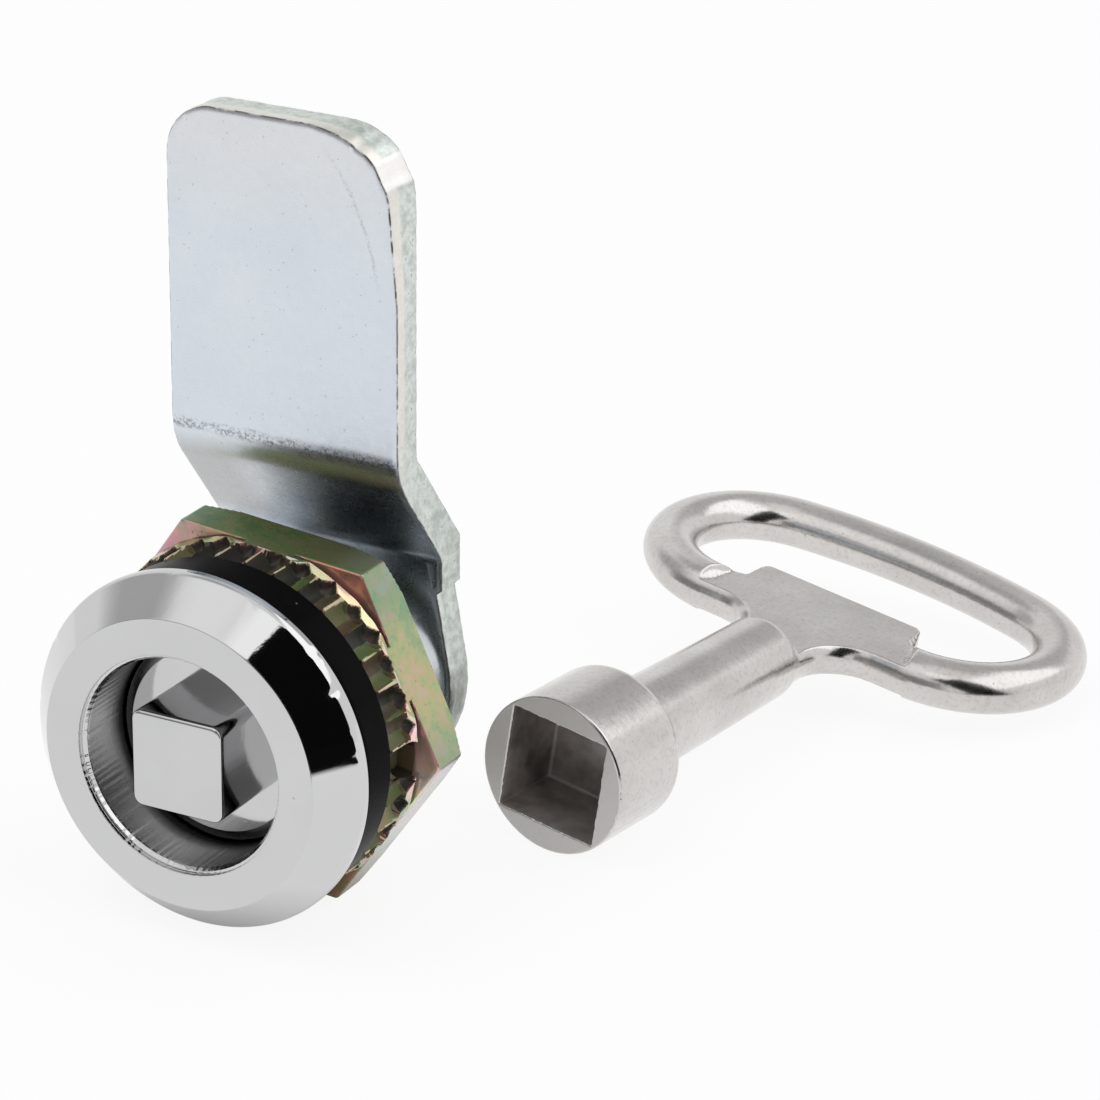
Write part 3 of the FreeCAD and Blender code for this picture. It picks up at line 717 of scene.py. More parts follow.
def yellow_zinc(name):
    """Chromated zinc: the film's colour with its painted light and shade (the mark film_light_and_shade)
    drifts with its thickness and reddens face on.

    The mark's alpha is 1 where the film shines, and 0 in the dull flutes and grooves."""
    made, wires, shader = metal(name)
    place = wires.place()
    film_light_and_shade = wires.node("ShaderNodeAttribute", attribute_name="film_light_and_shade").outputs
    film = film_light_and_shade["Color"]
    wires.put(shader.inputs["Metallic"], wires.times(film_light_and_shade["Alpha"], 0.6))
    broad = wires.times(wires.noise(place, 240.0, 3.0, 0.6), 0.5)
    drift = wires.line(wires.noise(place, 900.0, 4.0, 0.7), 0.5, broad)
    shift = wires.ramp(drift, FILM_DRIFT)
    facing = wires.node("ShaderNodeLayerWeight").outputs["Facing"]
    grain = group(wires, "satin_grain", scale=1400.0, depth=0.6)
    spots = group(wires, "pits", scale=2200.0, size=0.24, share=0.20)
    colour = wires.mix(1.0, film, shift, kind="MULTIPLY")
    steep = wires.mix(1.0, colour, (1.06, 0.76, 0.80), kind="MULTIPLY")
    colour = wires.mix(wires.span(facing, 0.34, 0.12), colour, steep)
    wires.put(shader.inputs["Base Color"], wires.mix(wires.times(spots, 0.35), colour, (0.06, 0.05, 0.035)))
    gloss = wires.line(film_light_and_shade["Alpha"], -0.2, 0.38)
    wires.put(shader.inputs["Roughness"], wires.line(grain, 0.14, gloss))
    bump(wires, shader, wires.line(spots, -0.8, grain), 0.3, 0.03)
    return made


def nickel(name):
    """Satin nickel on a casting, painted dull dark brown inside the socket as shade, with painted highlights
    along the socket's corners and floor (marks socket and worn).
    """
    made, wires, shader = metal(name)
    place = wires.place()
    socket_shade = wires.mark("socket")
    worn = wires.mark("worn")
    cloud = wires.noise(place, 140.0, 4.0, 0.6)
    grain = group(wires, "satin_grain", scale=1500.0, depth=1.0)
    marks = group(wires, "fine_scratches", scale=500.0, stretch=10.0, amount=0.7)
    spots = group(wires, "pits", scale=1500.0, size=0.14, share=0.12)
    mottle = wires.noise(place, 2600.0, 3.0, 0.7)
    colour = wires.mix(wires.span(cloud, 0.36, 0.64), (0.58, 0.56, 0.545), (0.67, 0.65, 0.635))
    colour = wires.mix(wires.span(mottle, 0.50, 0.36, 0.0, 0.30), colour, (0.40, 0.38, 0.36))
    # Painted shade: the socket is painted dull dark brown.
    socket_cloud = wires.span(wires.noise(place, 240.0, 4.0, 0.6), 0.35, 0.7)
    socket_shade_colour = wires.mix(socket_cloud, (0.15, 0.128, 0.118), (0.50, 0.45, 0.43))
    colour = wires.mix(socket_shade, colour, socket_shade_colour)
    # worn brightens the mouth's worn face, and paints highlights along the socket's corners and floor.
    colour = wires.mix(worn, colour, (0.66, 0.64, 0.625))
    wires.put(shader.inputs["Base Color"], wires.mix(wires.times(spots, 0.4), colour, (0.14, 0.13, 0.12)))
    wires.put(shader.inputs["Metallic"], wires.line(socket_shade, -0.75, wires.line(worn, -0.9, 1.0), clamp=True))
    gloss = wires.line(grain, 0.08, wires.line(socket_shade, 0.2, wires.line(worn, 0.2, 0.13)))
    wires.put(shader.inputs["Roughness"], wires.line(marks, 0.08, gloss))
    lumps = wires.line(wires.noise(place, 620.0, 2.0), 1.3, wires.times(grain, 0.9))
    relief = wires.math("SUBTRACT", lumps, wires.line(marks, 0.25, wires.times(spots, 0.4)))
    bump(wires, shader, relief, 0.45, 0.02)
    return made


# Screw threads, made by geometry nodes

def thread_tree(finish):
    """A tube whose radius follows a V thread along its length, cut flat on two sides."""
    tree = bpy.data.node_groups.new("screw_thread", "GeometryNodeTree")
    sizes = {"Crest Radius": 11.0, "Root Radius": 10.0, "Pitch": 1.5, "Start": 0.0, "Length": 10.0,
             "Half Flats": 20.0}
    for label, value in sizes.items():
        socket = tree.interface.new_socket(label, in_out="INPUT", socket_type="NodeSocketFloat")
        socket.default_value = value
    tree.interface.new_socket("Geometry", in_out="OUTPUT", socket_type="NodeSocketGeometry")
    wires = Wires(tree)
    start = tree.nodes.new("NodeGroupInput").outputs
    end = tree.nodes.new("NodeGroupOutput").inputs
    grid = wires.node("GeometryNodeMeshGrid", {
        "Size X": 1.0, "Size Y": 1.0, "Vertices X": THREAD_AROUND, "Vertices Y": THREAD_ALONG,
    })
    u, v, _ = wires.split(wires.node("GeometryNodeInputPosition").outputs[0])
    u = wires.math("ADD", u, 0.5)
    v = wires.math("ADD", v, 0.5)
    angle = wires.math("MULTIPLY", u, 2 * math.pi)
    y = wires.line(v, start["Length"], start["Start"])
    turns = wires.math("DIVIDE", y, start["Pitch"])
    phase = wires.math("FRACT", wires.math("ADD", turns, u))
    vee = wires.math("ABSOLUTE", wires.math("SUBTRACT", phase, 0.5))
    crest = wires.line(vee, 2.6, -0.2, clamp=True)
    ends = wires.math("MINIMUM", v, wires.math("SUBTRACT", 1.0, v))
    run_out = wires.math("MULTIPLY", ends, 16.0, clamp=True)
    depth = wires.math("SUBTRACT", start["Crest Radius"], start["Root Radius"])
    rise = wires.times(crest, run_out, depth)
    sink = wires.line(run_out, 0.05 * MM, -0.05 * MM)
    radius = wires.math("ADD", wires.math("ADD", start["Root Radius"], sink), rise)
    x = wires.math("MULTIPLY", radius, wires.math("COSINE", angle))
    x = wires.math("MINIMUM", x, start["Half Flats"])
    x = wires.math("MAXIMUM", x, wires.math("MULTIPLY", start["Half Flats"], -1.0))
    z = wires.math("MULTIPLY", radius, wires.math("SINE", angle))
    spot = wires.vector(x, y, z)
    bent = wires.node("GeometryNodeSetPosition", {"Geometry": grid.outputs["Mesh"], "Position": spot})
    whole = wires.node("GeometryNodeMergeByDistance", {"Geometry": bent.outputs[0], "Distance": 0.001 * MM})
    real = wires.node("GeometryNodeRealizeInstances", {"Geometry": whole.outputs[0]})
    painted = wires.node("GeometryNodeSetMaterial", {"Geometry": real.outputs[0], "Material": finish})
    wires.put(end["Geometry"], painted.outputs[0])
    return tree


def grown(name, tree, sizes, body):
    """Runs a geometry tree with named sizes and keeps the result as a plain mesh."""
    seed = bpy.data.objects.new(name + "_seed", bpy.data.meshes.new(name + "_seed"))
    bpy.context.scene.collection.objects.link(seed)
    modifier = seed.modifiers.new("grow", "NODES")
    modifier.node_group = tree
    for socket in tree.interface.items_tree:
        if socket.name in sizes:
            modifier[socket.identifier] = sizes[socket.name]
    graph = bpy.context.evaluated_depsgraph_get()
    mesh = bpy.data.meshes.new_from_object(seed.evaluated_get(graph), depsgraph=graph)
    bpy.data.objects.remove(seed)
    mesh.name = name
    finish_mesh(mesh)
    thing = bpy.data.objects.new(name, mesh)
    bpy.context.scene.collection.objects.link(thing)
    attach(thing, body)
    return thing


# Lock pieces

def barrel_shape():
    lip_r = RECESS_R + LIP
    profile = [
        (lip_r, FRONT, 0.06),
        (RING_R, FRONT, 0.10),
        *[(RING_R + s * (HEAD_R - RING_R), FRONT - s * (RIM + FRONT), 0) for s in (0.5, 0.8)],
        (HEAD_R, -RIM, RIM_ROUND),
        (HEAD_R, 0.0, 0.15),
        (THREAD_ROOT_R, 0.0, 0.05),
        (THREAD_ROOT_R, SHANK_END - 0.5, 0.05),
        (THREAD_ROOT_R - 0.5, SHANK_END, 0.05),
        (BORE_R, SHANK_END, 0.1),
        (BORE_R, RECESS_FLOOR, 0.1),
        (RECESS_R, RECESS_FLOOR, 0.1),
        (RECESS_R, FRONT + 2 * LIP_STEP, 0.05),
        (RECESS_R + LIP / 2, FRONT + LIP_STEP, 0.04),
        (lip_r, FRONT + LIP_STEP, 0.04),
    ]
    points, faces = lathe(profile)
    return joined((torn_lip(dented(points, rim_nicks())), faces), lug_shape())


def rim_nicks():
    """Small knocks along the front edge of the rim, most of them on the right."""
    dice = random.Random(21)
    nicks = []
    for _ in range(20):
        angle = math.radians(dice.choice((dice.uniform(-40, 50), dice.uniform(-180, 180))))
        out = np.array((math.cos(angle), 0.0, math.sin(angle)))
        centre = out * HEAD_R + np.array((0.0, -RIM + dice.uniform(-0.25, 0.15), 0.0))
        deep = dice.uniform(0.03, 0.08)
        nicks.append((centre, dice.uniform(0.3, 0.55), deep * (np.array((0.0, 0.6, 0.0)) - out)))
    return nicks


def torn_lip(points):
    """Leaves the recess's stepped lip uneven, most at the lower left, as the tool left it."""
    angles = np.arctan2(points[:, 2], points[:, 0])
    radius = np.hypot(points[:, 0], points[:, 2])
    lip = (radius > RECESS_R - 0.05) & (radius < RECESS_R + LIP + 0.1)
    lip &= points[:, 1] < FRONT + 3 * LIP_STEP
    lower_left = 0.35 + 0.65 * np.clip(np.cos(angles - math.radians(215)), 0, 1)
    dice = random.Random(5)
    sway = sum(np.sin(angles * dice.randint(40, 150) + dice.uniform(0, 6.3)) for _ in range(9)) / 3
    shift = np.where(lip, 0.02 * sway * lower_left, 0.0)
    points = points.copy()
    points[:, 0] += shift * np.cos(angles)
    points[:, 2] += shift * np.sin(angles)
    points[:, 1] += np.where(lip & (points[:, 1] > FRONT + 0.1), 0.7 * shift, 0.0)
    return points


def lug_shape():
    """The block at the bottom of the shank's end that stops the turn."""
    steps = 16
    rings = []
    for i in range(steps + 1):
        angle = math.radians(-90 - LUG_HALF_ANGLE + 2 * LUG_HALF_ANGLE * i / steps)
        out = np.array((math.cos(angle), 0.0, math.sin(angle)))
        ends = ((LUG_INNER_R, SHANK_END - 0.2), (LUG_OUTER_R, SHANK_END - 0.2),
                (LUG_OUTER_R, housing_high.y), (LUG_INNER_R, housing_high.y))
        rings.append(np.array([out * r + np.array((0.0, y, 0.0)) for r, y in ends]))
    return prism(rings)


def driver_shape():
    """Disc with the driving square in front, grooved shaft, and the cam's square with the screw's hole."""
    profile = [
        (0.0, DISC_FRONT, 0),
        (DISC_R - DISC_CHAMFER, DISC_FRONT, 0.08),
        (DISC_R, DISC_FRONT + DISC_CHAMFER_DEPTH, 0.08),
        (DISC_R, RECESS_FLOOR - 0.02, 0.05),
        (SHAFT_R, RECESS_FLOOR - 0.02, 0.05),
        (SHAFT_R, GROOVE_FROM, 0.05),
        (SHAFT_R - GROOVE_DEPTH, GROOVE_FROM, 0.05),
        (SHAFT_R - GROOVE_DEPTH, GROOVE_TO, 0.05),
        (SHAFT_R, GROOVE_TO, 0.05),
        (SHAFT_R, SHOULDER, 0.1),
        (CAM_SQUARE / 2 - 0.2, SHOULDER, 0),
    ]
    front = driver_low.y
    stations = ((0.0, 0.7), (0.0, 0.3), (0.03, 0.17), (0.09, 0.07), (0.18, 0.015), (0.3, 0.0), (0.5, 0.0),
                (DISC_FRONT + 0.5 - front, 0.0))
    rings = [rounded_square(DRIVE_SQUARE, DRIVE_CORNER, front + y, inset) for y, inset in stations]
    head_square = prism(rings)
    back = driver_high.y
    edge = ((SHOULDER - 0.5, 0.0), (back - 0.3, 0.0), (back - 0.1, 0.03), (back, 0.15), (back, 0.4))
    rings = [rounded_square(CAM_SQUARE, CAM_SQUARE_CORNER, y, inset) for y, inset in edge]
    hole = ((SCREW_HOLE_R + 0.3, back), (SCREW_HOLE_R, back - 0.3), (SCREW_HOLE_R, back - SCREW_HOLE_DEPTH),
            (0.01, back - SCREW_HOLE_DEPTH - 1.0))
    rings += [round_like(rings[0], radius, y) for radius, y in hole]
    return joined(lathe(profile, closed=False), head_square, skin(rings))


def gasket_shape():
    inner = SHANK_R + 0.05
    outer = gasket_high.x
    back = gasket_high.y
    return lathe([(inner, 0.0, 0.2), (outer, 0.0, GASKET_FRONT_ROUND), (outer, back, GASKET_BACK_ROUND),
                  (inner, back, 0.2)])


def seal_shape():
    middle = (GROOVE_FROM + GROOVE_TO) / 2
    rings = []
    for a in even_angles(24):
        radius = SHAFT_R - SEAL_R + SEAL_R * math.cos(a)
        rings.append(circle(radius, middle + SEAL_R * math.sin(a), around=96))
    return skin(rings, closed=True)


def washer_shape():
    radius, low, high = washer_high.x, washer_low.y, washer_high.y
    return lathe([(WASHER_HOLE_R, low, 0.08), (radius, low, 0.12), (radius, high, 0.12),
                  (WASHER_HOLE_R, high, 0.08)], around=192)


def spring_washer_shape():
    """A flat coil of a little under one turn, whose cut ends stand slightly apart."""
    steps = 120
    outer, inner = spring_high.x, WASHER_HOLE_R
    thick = spring_high.y - spring_low.y
    rings = []
    for i in range(steps + 1):
        a = math.radians(SPRING_START + SPRING_TURN * i / steps)
        out = np.array((math.cos(a), 0.0, math.sin(a)))
        ends = ((inner, 0.05), (inner + 0.05, 0.0), (outer - 0.1, 0.0), (outer, 0.1), (outer, thick - 0.1),
                (outer - 0.1, thick), (inner + 0.05, thick), (inner, thick - 0.05))
        rings.append(np.array([out * r + np.array((0.0, spring_low.y + y, 0.0)) for r, y in ends]))
    return prism(rings)


def screw_shape():
    """Pan head with a cross recess, drawn as a field of heights round the axis."""
    around = 256
    top = screw_high.y
    head_r = screw_high.x
    flat_r = head_r - PAN_ROUND
    rounding = flat_r + PAN_ROUND * np.sin(np.linspace(0.02, math.pi / 2, 14))
    radii = np.concatenate((np.linspace(0, 3.4, 52), rounding))
    angles = even_angles(around)
    rings = []
    for r in radii:
        drop = 0.0
        if r > flat_r:
            drop = PAN_ROUND - math.sqrt(max(PAN_ROUND ** 2 - (r - flat_r) ** 2, 0.0))
        x = np.abs(r * np.cos(angles))
        z = np.abs(r * np.sin(angles))
        near, far = np.minimum(x, z), np.maximum(x, z)
        wall = np.minimum((CROSS_HALF_WIDTH - 0.06 * far - near) / 0.09, (CROSS_REACH - far) / 0.5)
        depth = CROSS_DEPTH * np.clip(wall, 0, 1) * np.clip((3.1 - far) / 1.6, 0, 1)
        rings.append(ring_at(angles, r, top - drop - depth))
    foot = screw_low.y
    under = spring_high.y
    for r, y in ((head_r, top - PAN_ROUND - 0.1), (head_r, under + 0.12), (head_r - 0.1, under),
                 (SCREW_R, under), (SCREW_R, foot + 0.5), (SCREW_R - 0.4, foot), (0.0, foot)):
        rings.append(circle(r, y, around))
    return skin(rings)


def hex_radius(angles):
    """Distance from the axis to the hexagon, whose corners are softened."""
    rounding = HEX_CORNER
    fold = np.mod(angles - math.radians(NUT_TURNED) + math.pi / 6, math.pi / 3) - math.pi / 6
    fold = math.pi / 6 - np.abs(fold)
    half = NUT_FLATS / 2
    corner = half / math.cos(math.pi / 6)
    straight = half / np.cos(fold)
    centre = corner - rounding / math.cos(math.pi / 6)
    off = math.pi / 6 - fold
    round_part = centre * np.cos(off) + np.sqrt(np.maximum(rounding ** 2 - (centre * np.sin(off)) ** 2, 0))
    inside = centre * np.sin(off) < rounding * math.sin(math.pi / 6)
    return np.where(inside, round_part, straight)


def flute_depth(angles, y):
    """How deep the flutes cut at each angle; each narrows to a point where its tool ran out."""
    dice = random.Random(7)
    pitch = 2 * math.pi / FLUTES
    depth = np.zeros_like(angles)
    for i in range(FLUTES):
        centre = (i + dice.uniform(-0.07, 0.07)) * pitch
        centre += dice.uniform(-0.02, 0.02) * (y - NUT_FRONT) / CROWN_LENGTH
        width = pitch * dice.uniform(0.46, 0.52)
        deep = FLUTE_DEPTH * dice.uniform(0.85, 1.15)
        share = (CROWN_END - dice.uniform(0.0, 0.15) - y) / RUN_OUT
        if share <= 0:
            continue
        if share < 1:
            width *= 0.68 * share
            deep *= share ** 0.3
        off = np.mod(angles - centre + math.pi, 2 * math.pi) - math.pi
        depth = np.maximum(depth, deep * np.clip(1 - np.abs(off / width) ** 2.4, 0, 1))
    return depth


def pin_hole_depth(angles, y):
    off = (np.mod(angles - math.radians(PIN_HOLE_ANGLE) + math.pi, 2 * math.pi) - math.pi) * CROWN_R
    away = np.hypot(off, y - PIN_HOLE_Y)
    return PIN_HOLE_DEPTH * np.clip((PIN_HOLE_R - away) / 0.12, 0, 1)


def collar_flare(y):
    """The crown's back edge stands out a little, so that the collar leans towards the front."""
    share = min(max((y - CROWN_END + COLLAR) / COLLAR, 0.0), 1.0)
    return COLLAR_FLARE * (share - 1.0)


def milled_flats(hexagon, y):
    """How far out the hexagon's flats, milled on past the groove, leave the crown's back edge."""
    before = min(max((CROWN_END - 0.25 - y) / 0.45, 0.0), 1.0)
    return hexagon + 0.35 * before


def lock_nut_shape():
    """Fluted crown with its collar, groove, hexagon and bore, as rings from the front to the back."""
    angles = math.radians(NUT_TURNED) + even_angles(NUT_AROUND)
    dice = random.Random(19)
    sway = sum(np.sin(angles * dice.randint(9, 60) + dice.uniform(0, 6.3)) for _ in range(7)) / 4

    hexagon = hex_radius(angles)
    # The middle of each flat runs on across the groove between crown and hexagon.
    closed = np.clip((CROWN_R - 0.05 - hexagon) / 0.2, 0, 1)
    lands = np.linspace(NUT_FRONT + 0.08, CROWN_END - RUN_OUT, 18)
    collar = np.linspace(CROWN_END - RUN_OUT + 0.07, CROWN_END, 16)
    rings = []
    for y in np.concatenate(([NUT_FRONT], lands, collar)):
        cut = np.maximum(flute_depth(angles, y), pin_hole_depth(angles, y))
        ease = 0.12 if y == NUT_FRONT else 0.0
        late = max((y - CROWN_END + 0.3) / 0.3, 0.0)
        radii = CROWN_R + collar_flare(y) - cut - ease + 0.05 * late * sway
        rings.append(ring_at(angles, np.minimum(radii, milled_flats(hexagon, y)), y))
    for radius, y in ((CROWN_R - 0.35, CROWN_END + 0.02), (CROWN_NECK_R, CROWN_END + 0.03),
                      (CROWN_NECK_R, HEX_FRONT - 0.02), (CROWN_NECK_R + 0.05, HEX_FRONT)):
        rings.append(ring_at(angles, radius + (hexagon - radius) * closed, y))
    for inset, back in ((0.6, 0.0), (0.22, 0.0), (0.12, 0.015), (0.03, 0.08), (0.0, 0.18), (0.0, 0.3),
                        (0.0, 1.2)):
        rings.append(ring_at(angles, hexagon - inset * (1 - closed), HEX_FRONT + back))
    for k in range(8):
        y = NUT_BACK - NUT_CHAMFER_DEPTH + NUT_CHAMFER_DEPTH * k / 7
        chamfer = NUT_CHAMFER_R + (NUT_BACK - y) / NUT_CHAMFER_SLOPE
        rings.append(ring_at(angles, np.minimum(hexagon, chamfer), y))
    for radius, y in ((NUT_BORE_R + 0.5, NUT_BACK), (NUT_BORE_R, NUT_BACK - 0.5),
                      (NUT_BORE_R, NUT_FRONT + 0.3), (NUT_BORE_R + 0.3, NUT_FRONT)):
        rings.append(ring_at(angles, radius, y))
    rings.append(ring_at(angles, CROWN_R - COLLAR_FLARE - flute_depth(angles, NUT_FRONT) - 0.4, NUT_FRONT))
    return skin(rings, closed=True)


# Colours of the chromate film, with painted light and shade for the nut
OLIVE = (0.20, 0.24, 0.12)
STRAW = (0.49, 0.465, 0.29)
SAGE = (0.31, 0.39, 0.28)
LILAC = (0.52, 0.51, 0.53)
ROSE = (0.58, 0.42, 0.42)
TAN = (0.52, 0.41, 0.29)
CLAY = (0.62, 0.38, 0.31)
PLUM = (0.44, 0.23, 0.25)
CREAM = (0.97, 0.92, 0.66)
BLUSH = (0.93, 0.74, 0.72)
BRONZE = (0.32, 0.27, 0.16)
UMBER = (0.016, 0.014, 0.008)
MOSS = (0.105, 0.12, 0.045)
RUST = (0.075, 0.052, 0.030)
GARNET = (0.22, 0.095, 0.11)
# Painted shade for the flutes' run-out notches, the groove before the hexagon and the pin hole's rim
HOLLOW_SHADE = (0.03, 0.026, 0.018)
PIN_OLIVE = (0.07, 0.066, 0.03)
# Film on the lands, lightened as a painted highlight on the crests
LAND = (0.62, 0.57, 0.42)
# Painted light: lightens the hexagon's front where the head's shadow falls
MINT_PAINTED_LIGHT = (0.85, 0.98, 0.70)

# What the film's colour is multiplied by, from its thin places to its thick ones
FILM_DRIFT = ((0.40, (0.68, 0.92, 0.82)), (0.46, (0.90, 1.04, 0.84)), (0.50, (1.04, 1.00, 0.84)),
              (0.54, (1.20, 0.96, 1.02)), (0.60, (0.98, 1.08, 1.14)))
# The crown's back edge and the front of the hexagon by angle, anticlockwise from the right; the back edge's
# film is lightened as a painted highlight
EDGE_FILM = ((-30, STRAW), (-10, BLUSH), (32, BLUSH), (42, CREAM), (66, CREAM), (76, BLUSH), (100, STRAW))
# At -20 degrees the hexagon's front carries painted light, where the head's shadow falls.
FRONT_FILM = ((-60, BRONZE), (-35, TAN), (-20, MINT_PAINTED_LIGHT), (5, ROSE), (18, PLUM), (42, PLUM), (52, CLAY),
              (70, CLAY), (90, TAN), (104, TAN), (112, ROSE), (165, ROSE), (200, TAN))
# Each flat from its anticlockwise end to its clockwise end
TOP_FILM = ((0.0, SAGE), (0.14, OLIVE), (0.8, OLIVE), (1.0, SAGE))
RIGHT_FILM = ((0.0, SAGE), (0.16, SAGE), (0.34, STRAW), (0.74, STRAW), (1.0, SAGE))
LOW_FILM = ((0.0, LILAC), (0.6, LILAC), (1.0, BRONZE))
HIDDEN_FILM = ((0.0, OLIVE), (1.0, STRAW))
# The floor and the left wall of a flute, one pair drawn for each: the floor and other wall mostly near black
# as painted shade, the left wall's film as painted light
FLUTE_FILMS = ((UMBER, RUST), (UMBER, MOSS), (UMBER, BRONZE), (RUST, MOSS), (UMBER, GARNET), (MOSS, RUST))


def along_film(stops, place):
    places = [p for p, _ in stops]
    return [float(np.interp(place, places, [c[k] for _, c in stops])) for k in range(3)]


def crown_film(angle, y, radius, flutes, lit):
    """Cream lands and crests, lightened as a painted highlight, between dull valleys whose two walls get one
    colour each: painted light on the lit wall, painted shade on the other.
    """
    if radius > CROWN_R + collar_flare(y) - 0.07:
        if y < CROWN_END - RUN_OUT:
            return (*LAND, 0.3)
        return along_film(EDGE_FILM, angle)
    # Painted shade in the notches where the flutes run out.
    if y > CROWN_END - RUN_OUT - 0.05:
        return (*HOLLOW_SHADE, 0.0)
    base, wall = flutes[int(angle % 360 / 360 * FLUTES + 0.5) % FLUTES]
    return (*(wall if lit else base), 0.0)


def nut_film(centre, normal, flutes):
    """The film's colour at one face of the nut, by where the face lies, with painted shade in its hollows and
    painted light on lit walls and crests.
    """
    radius = math.hypot(centre[0], centre[2])
    angle = math.degrees(math.atan2(centre[2], centre[0]))
    swirl = (centre[0] * normal[2] - centre[2] * normal[0]) / radius
    if radius < CROWN_NECK_R - 1.0:
        return BRONZE
    across = math.cos(math.radians((angle - NUT_TURNED) % 60 - 30)) * radius
    milled = NUT_FLATS / 2 - 0.05 < across < NUT_FLATS / 2 + 0.02 and CROWN_END - 0.75 < centre[1] < HEX_FRONT
    if centre[1] < CROWN_END + 0.01 and not milled:
        hole = math.hypot(math.radians(angle - PIN_HOLE_ANGLE) * CROWN_R, centre[1] - PIN_HOLE_Y)
        # Painted shade round the pin hole's rim.
        if hole < PIN_HOLE_R:
            return (*(HOLLOW_SHADE if hole > PIN_HOLE_R - 0.3 else PIN_OLIVE), 0.0)
        return crown_film(angle, centre[1], radius, flutes, swirl > 0.1)
    # Painted shade in the groove between crown and hexagon.
    if centre[1] < HEX_FRONT - 0.01 and not milled:
        return (*HOLLOW_SHADE, 0.0)
    if normal[1] < -0.5:
        return along_film(FRONT_FILM, angle if angle > -120 else angle + 360)
    flat = int((angle - NUT_TURNED) % 360 // 60)
    share = 1.0 - (angle - NUT_TURNED) % 60 / 60
    film = {1: TOP_FILM, 0: RIGHT_FILM, 5: LOW_FILM}.get(flat, HIDDEN_FILM)
    return along_film(film, share)


def paint_nut(thing):
    """Gives each face of the nut its film colour, with painted light and shade on its walls, crests and
    hollows.
    """
    dice = random.Random(31)
    flutes = [dice.choice(FLUTE_FILMS) for _ in range(FLUTES)]
    mesh = thing.data
    film = mesh.attributes.new("film_light_and_shade", "FLOAT_COLOR", "CORNER")
    values = np.ones((len(mesh.loops), 4))
    for polygon in mesh.polygons:
        colour = nut_film(polygon.center / MM, polygon.normal, flutes)
        values[polygon.loop_start:polygon.loop_start + polygon.loop_total, :len(colour)] = colour
    film.data.foreach_set("color", values.ravel())


# Cam

def bend_miter():
    lean = math.atan2(CAM_OFFSET, BEND_HIGH - BEND_LOW)
    return CAM_THICKNESS * math.tan(lean / 2)


def face_lines():
    """Front and back face of the strip, seen from its edge, as (z values, y values)."""
    reach = CAM_FRONT - CAM_OFFSET
    rise = bend_miter()
    front = [(-20.0, CAM_FRONT, 0), (BEND_LOW, CAM_FRONT, 1.2), (BEND_HIGH, reach, 5.5), (60.0, reach, 0)]
    back = [(-20.0, CAM_FRONT + CAM_THICKNESS, 0), (BEND_LOW + rise, CAM_FRONT + CAM_THICKNESS, 0.5),
            (BEND_HIGH + rise, reach + CAM_THICKNESS, 1.2), (60.0, reach + CAM_THICKNESS, 0)]
    return [tuple(zip(*[(p.x, p.y) for p in eased(line)])) for line in (front, back)]


def cam_outline():
    """The blank's outline, (x, z), anticlockwise from the lower right, at an even small step."""
    half = CAM_WIDTH / 2
    neck = NECK_WIDTH / 2
    touch = math.atan2(BEND_LOW, neck) - math.acos(BASE_R / math.hypot(neck, BEND_LOW))
    slope = math.tan(math.radians(SHOULDER_SLANT))
    wide_z = BEND_LOW + bend_miter() - (CAM_FRONT + CAM_THICKNESS - SHOULDER_DEPTH) * slope
    points = arc((0.0, 0.0), BASE_R, 180 - math.degrees(touch), 360 + math.degrees(touch), 120)
    points.append(Vector((neck, BEND_LOW)))
    points.append(Vector((neck, wide_z - 0.6)))
    points.append(Vector((half, wide_z + 0.3)))
    right = (half - CORNER_RIGHT, CAM_REACH - CORNER_RIGHT)
    points += arc(right, CORNER_RIGHT, 0, CHIP_FROM, 5)
    points += arc(right, CORNER_RIGHT, CHIP_TO, 90, 16)
    points += arc((-half + CORNER_LEFT, CAM_REACH - CORNER_LEFT), CORNER_LEFT, 90, 180, 24)
    points.append(Vector((-half, wide_z + 0.3)))
    points.append(Vector((-neck, wide_z - 0.6)))
    points.append(Vector((-neck, BEND_LOW)))
    return even_steps(points, 0.28)


def arc(centre, radius, start, end, steps):
    angles = [math.radians(start + (end - start) * i / steps) for i in range(steps + 1)]
    return [Vector(centre) + radius * Vector((math.cos(a), math.sin(a))) for a in angles]


def even_steps(points, step):
    loop = points + points[:1]
    result = []
    for a, b in zip(loop, loop[1:]):
        count = max(1, round((b - a).length / step))
        result += [a.lerp(b, i / count) for i in range(count)]
    return result


def shear_inset(x, z, depth):
    """How far the shear's slant draws the right corner in at a depth behind the front face."""
    up = min(max((z - SHEAR_START) / 9.0, 0.0), 1.0)
    right = min(max((x - 2.5) / 4.0, 0.0), 1.0)
    return SHEAR_DEPTH * up * right * (1 - depth / CAM_THICKNESS)


def chip_share(x, z):
    """1 on the flat that the shear's corner left at the upper right."""
    centre = (CAM_WIDTH / 2 - CORNER_RIGHT, CAM_REACH - CORNER_RIGHT)
    angle = math.degrees(math.atan2(z - centre[1], x - centre[0]))
    return 1.0 if x > centre[0] and CHIP_FROM < angle < CHIP_TO else 0.0


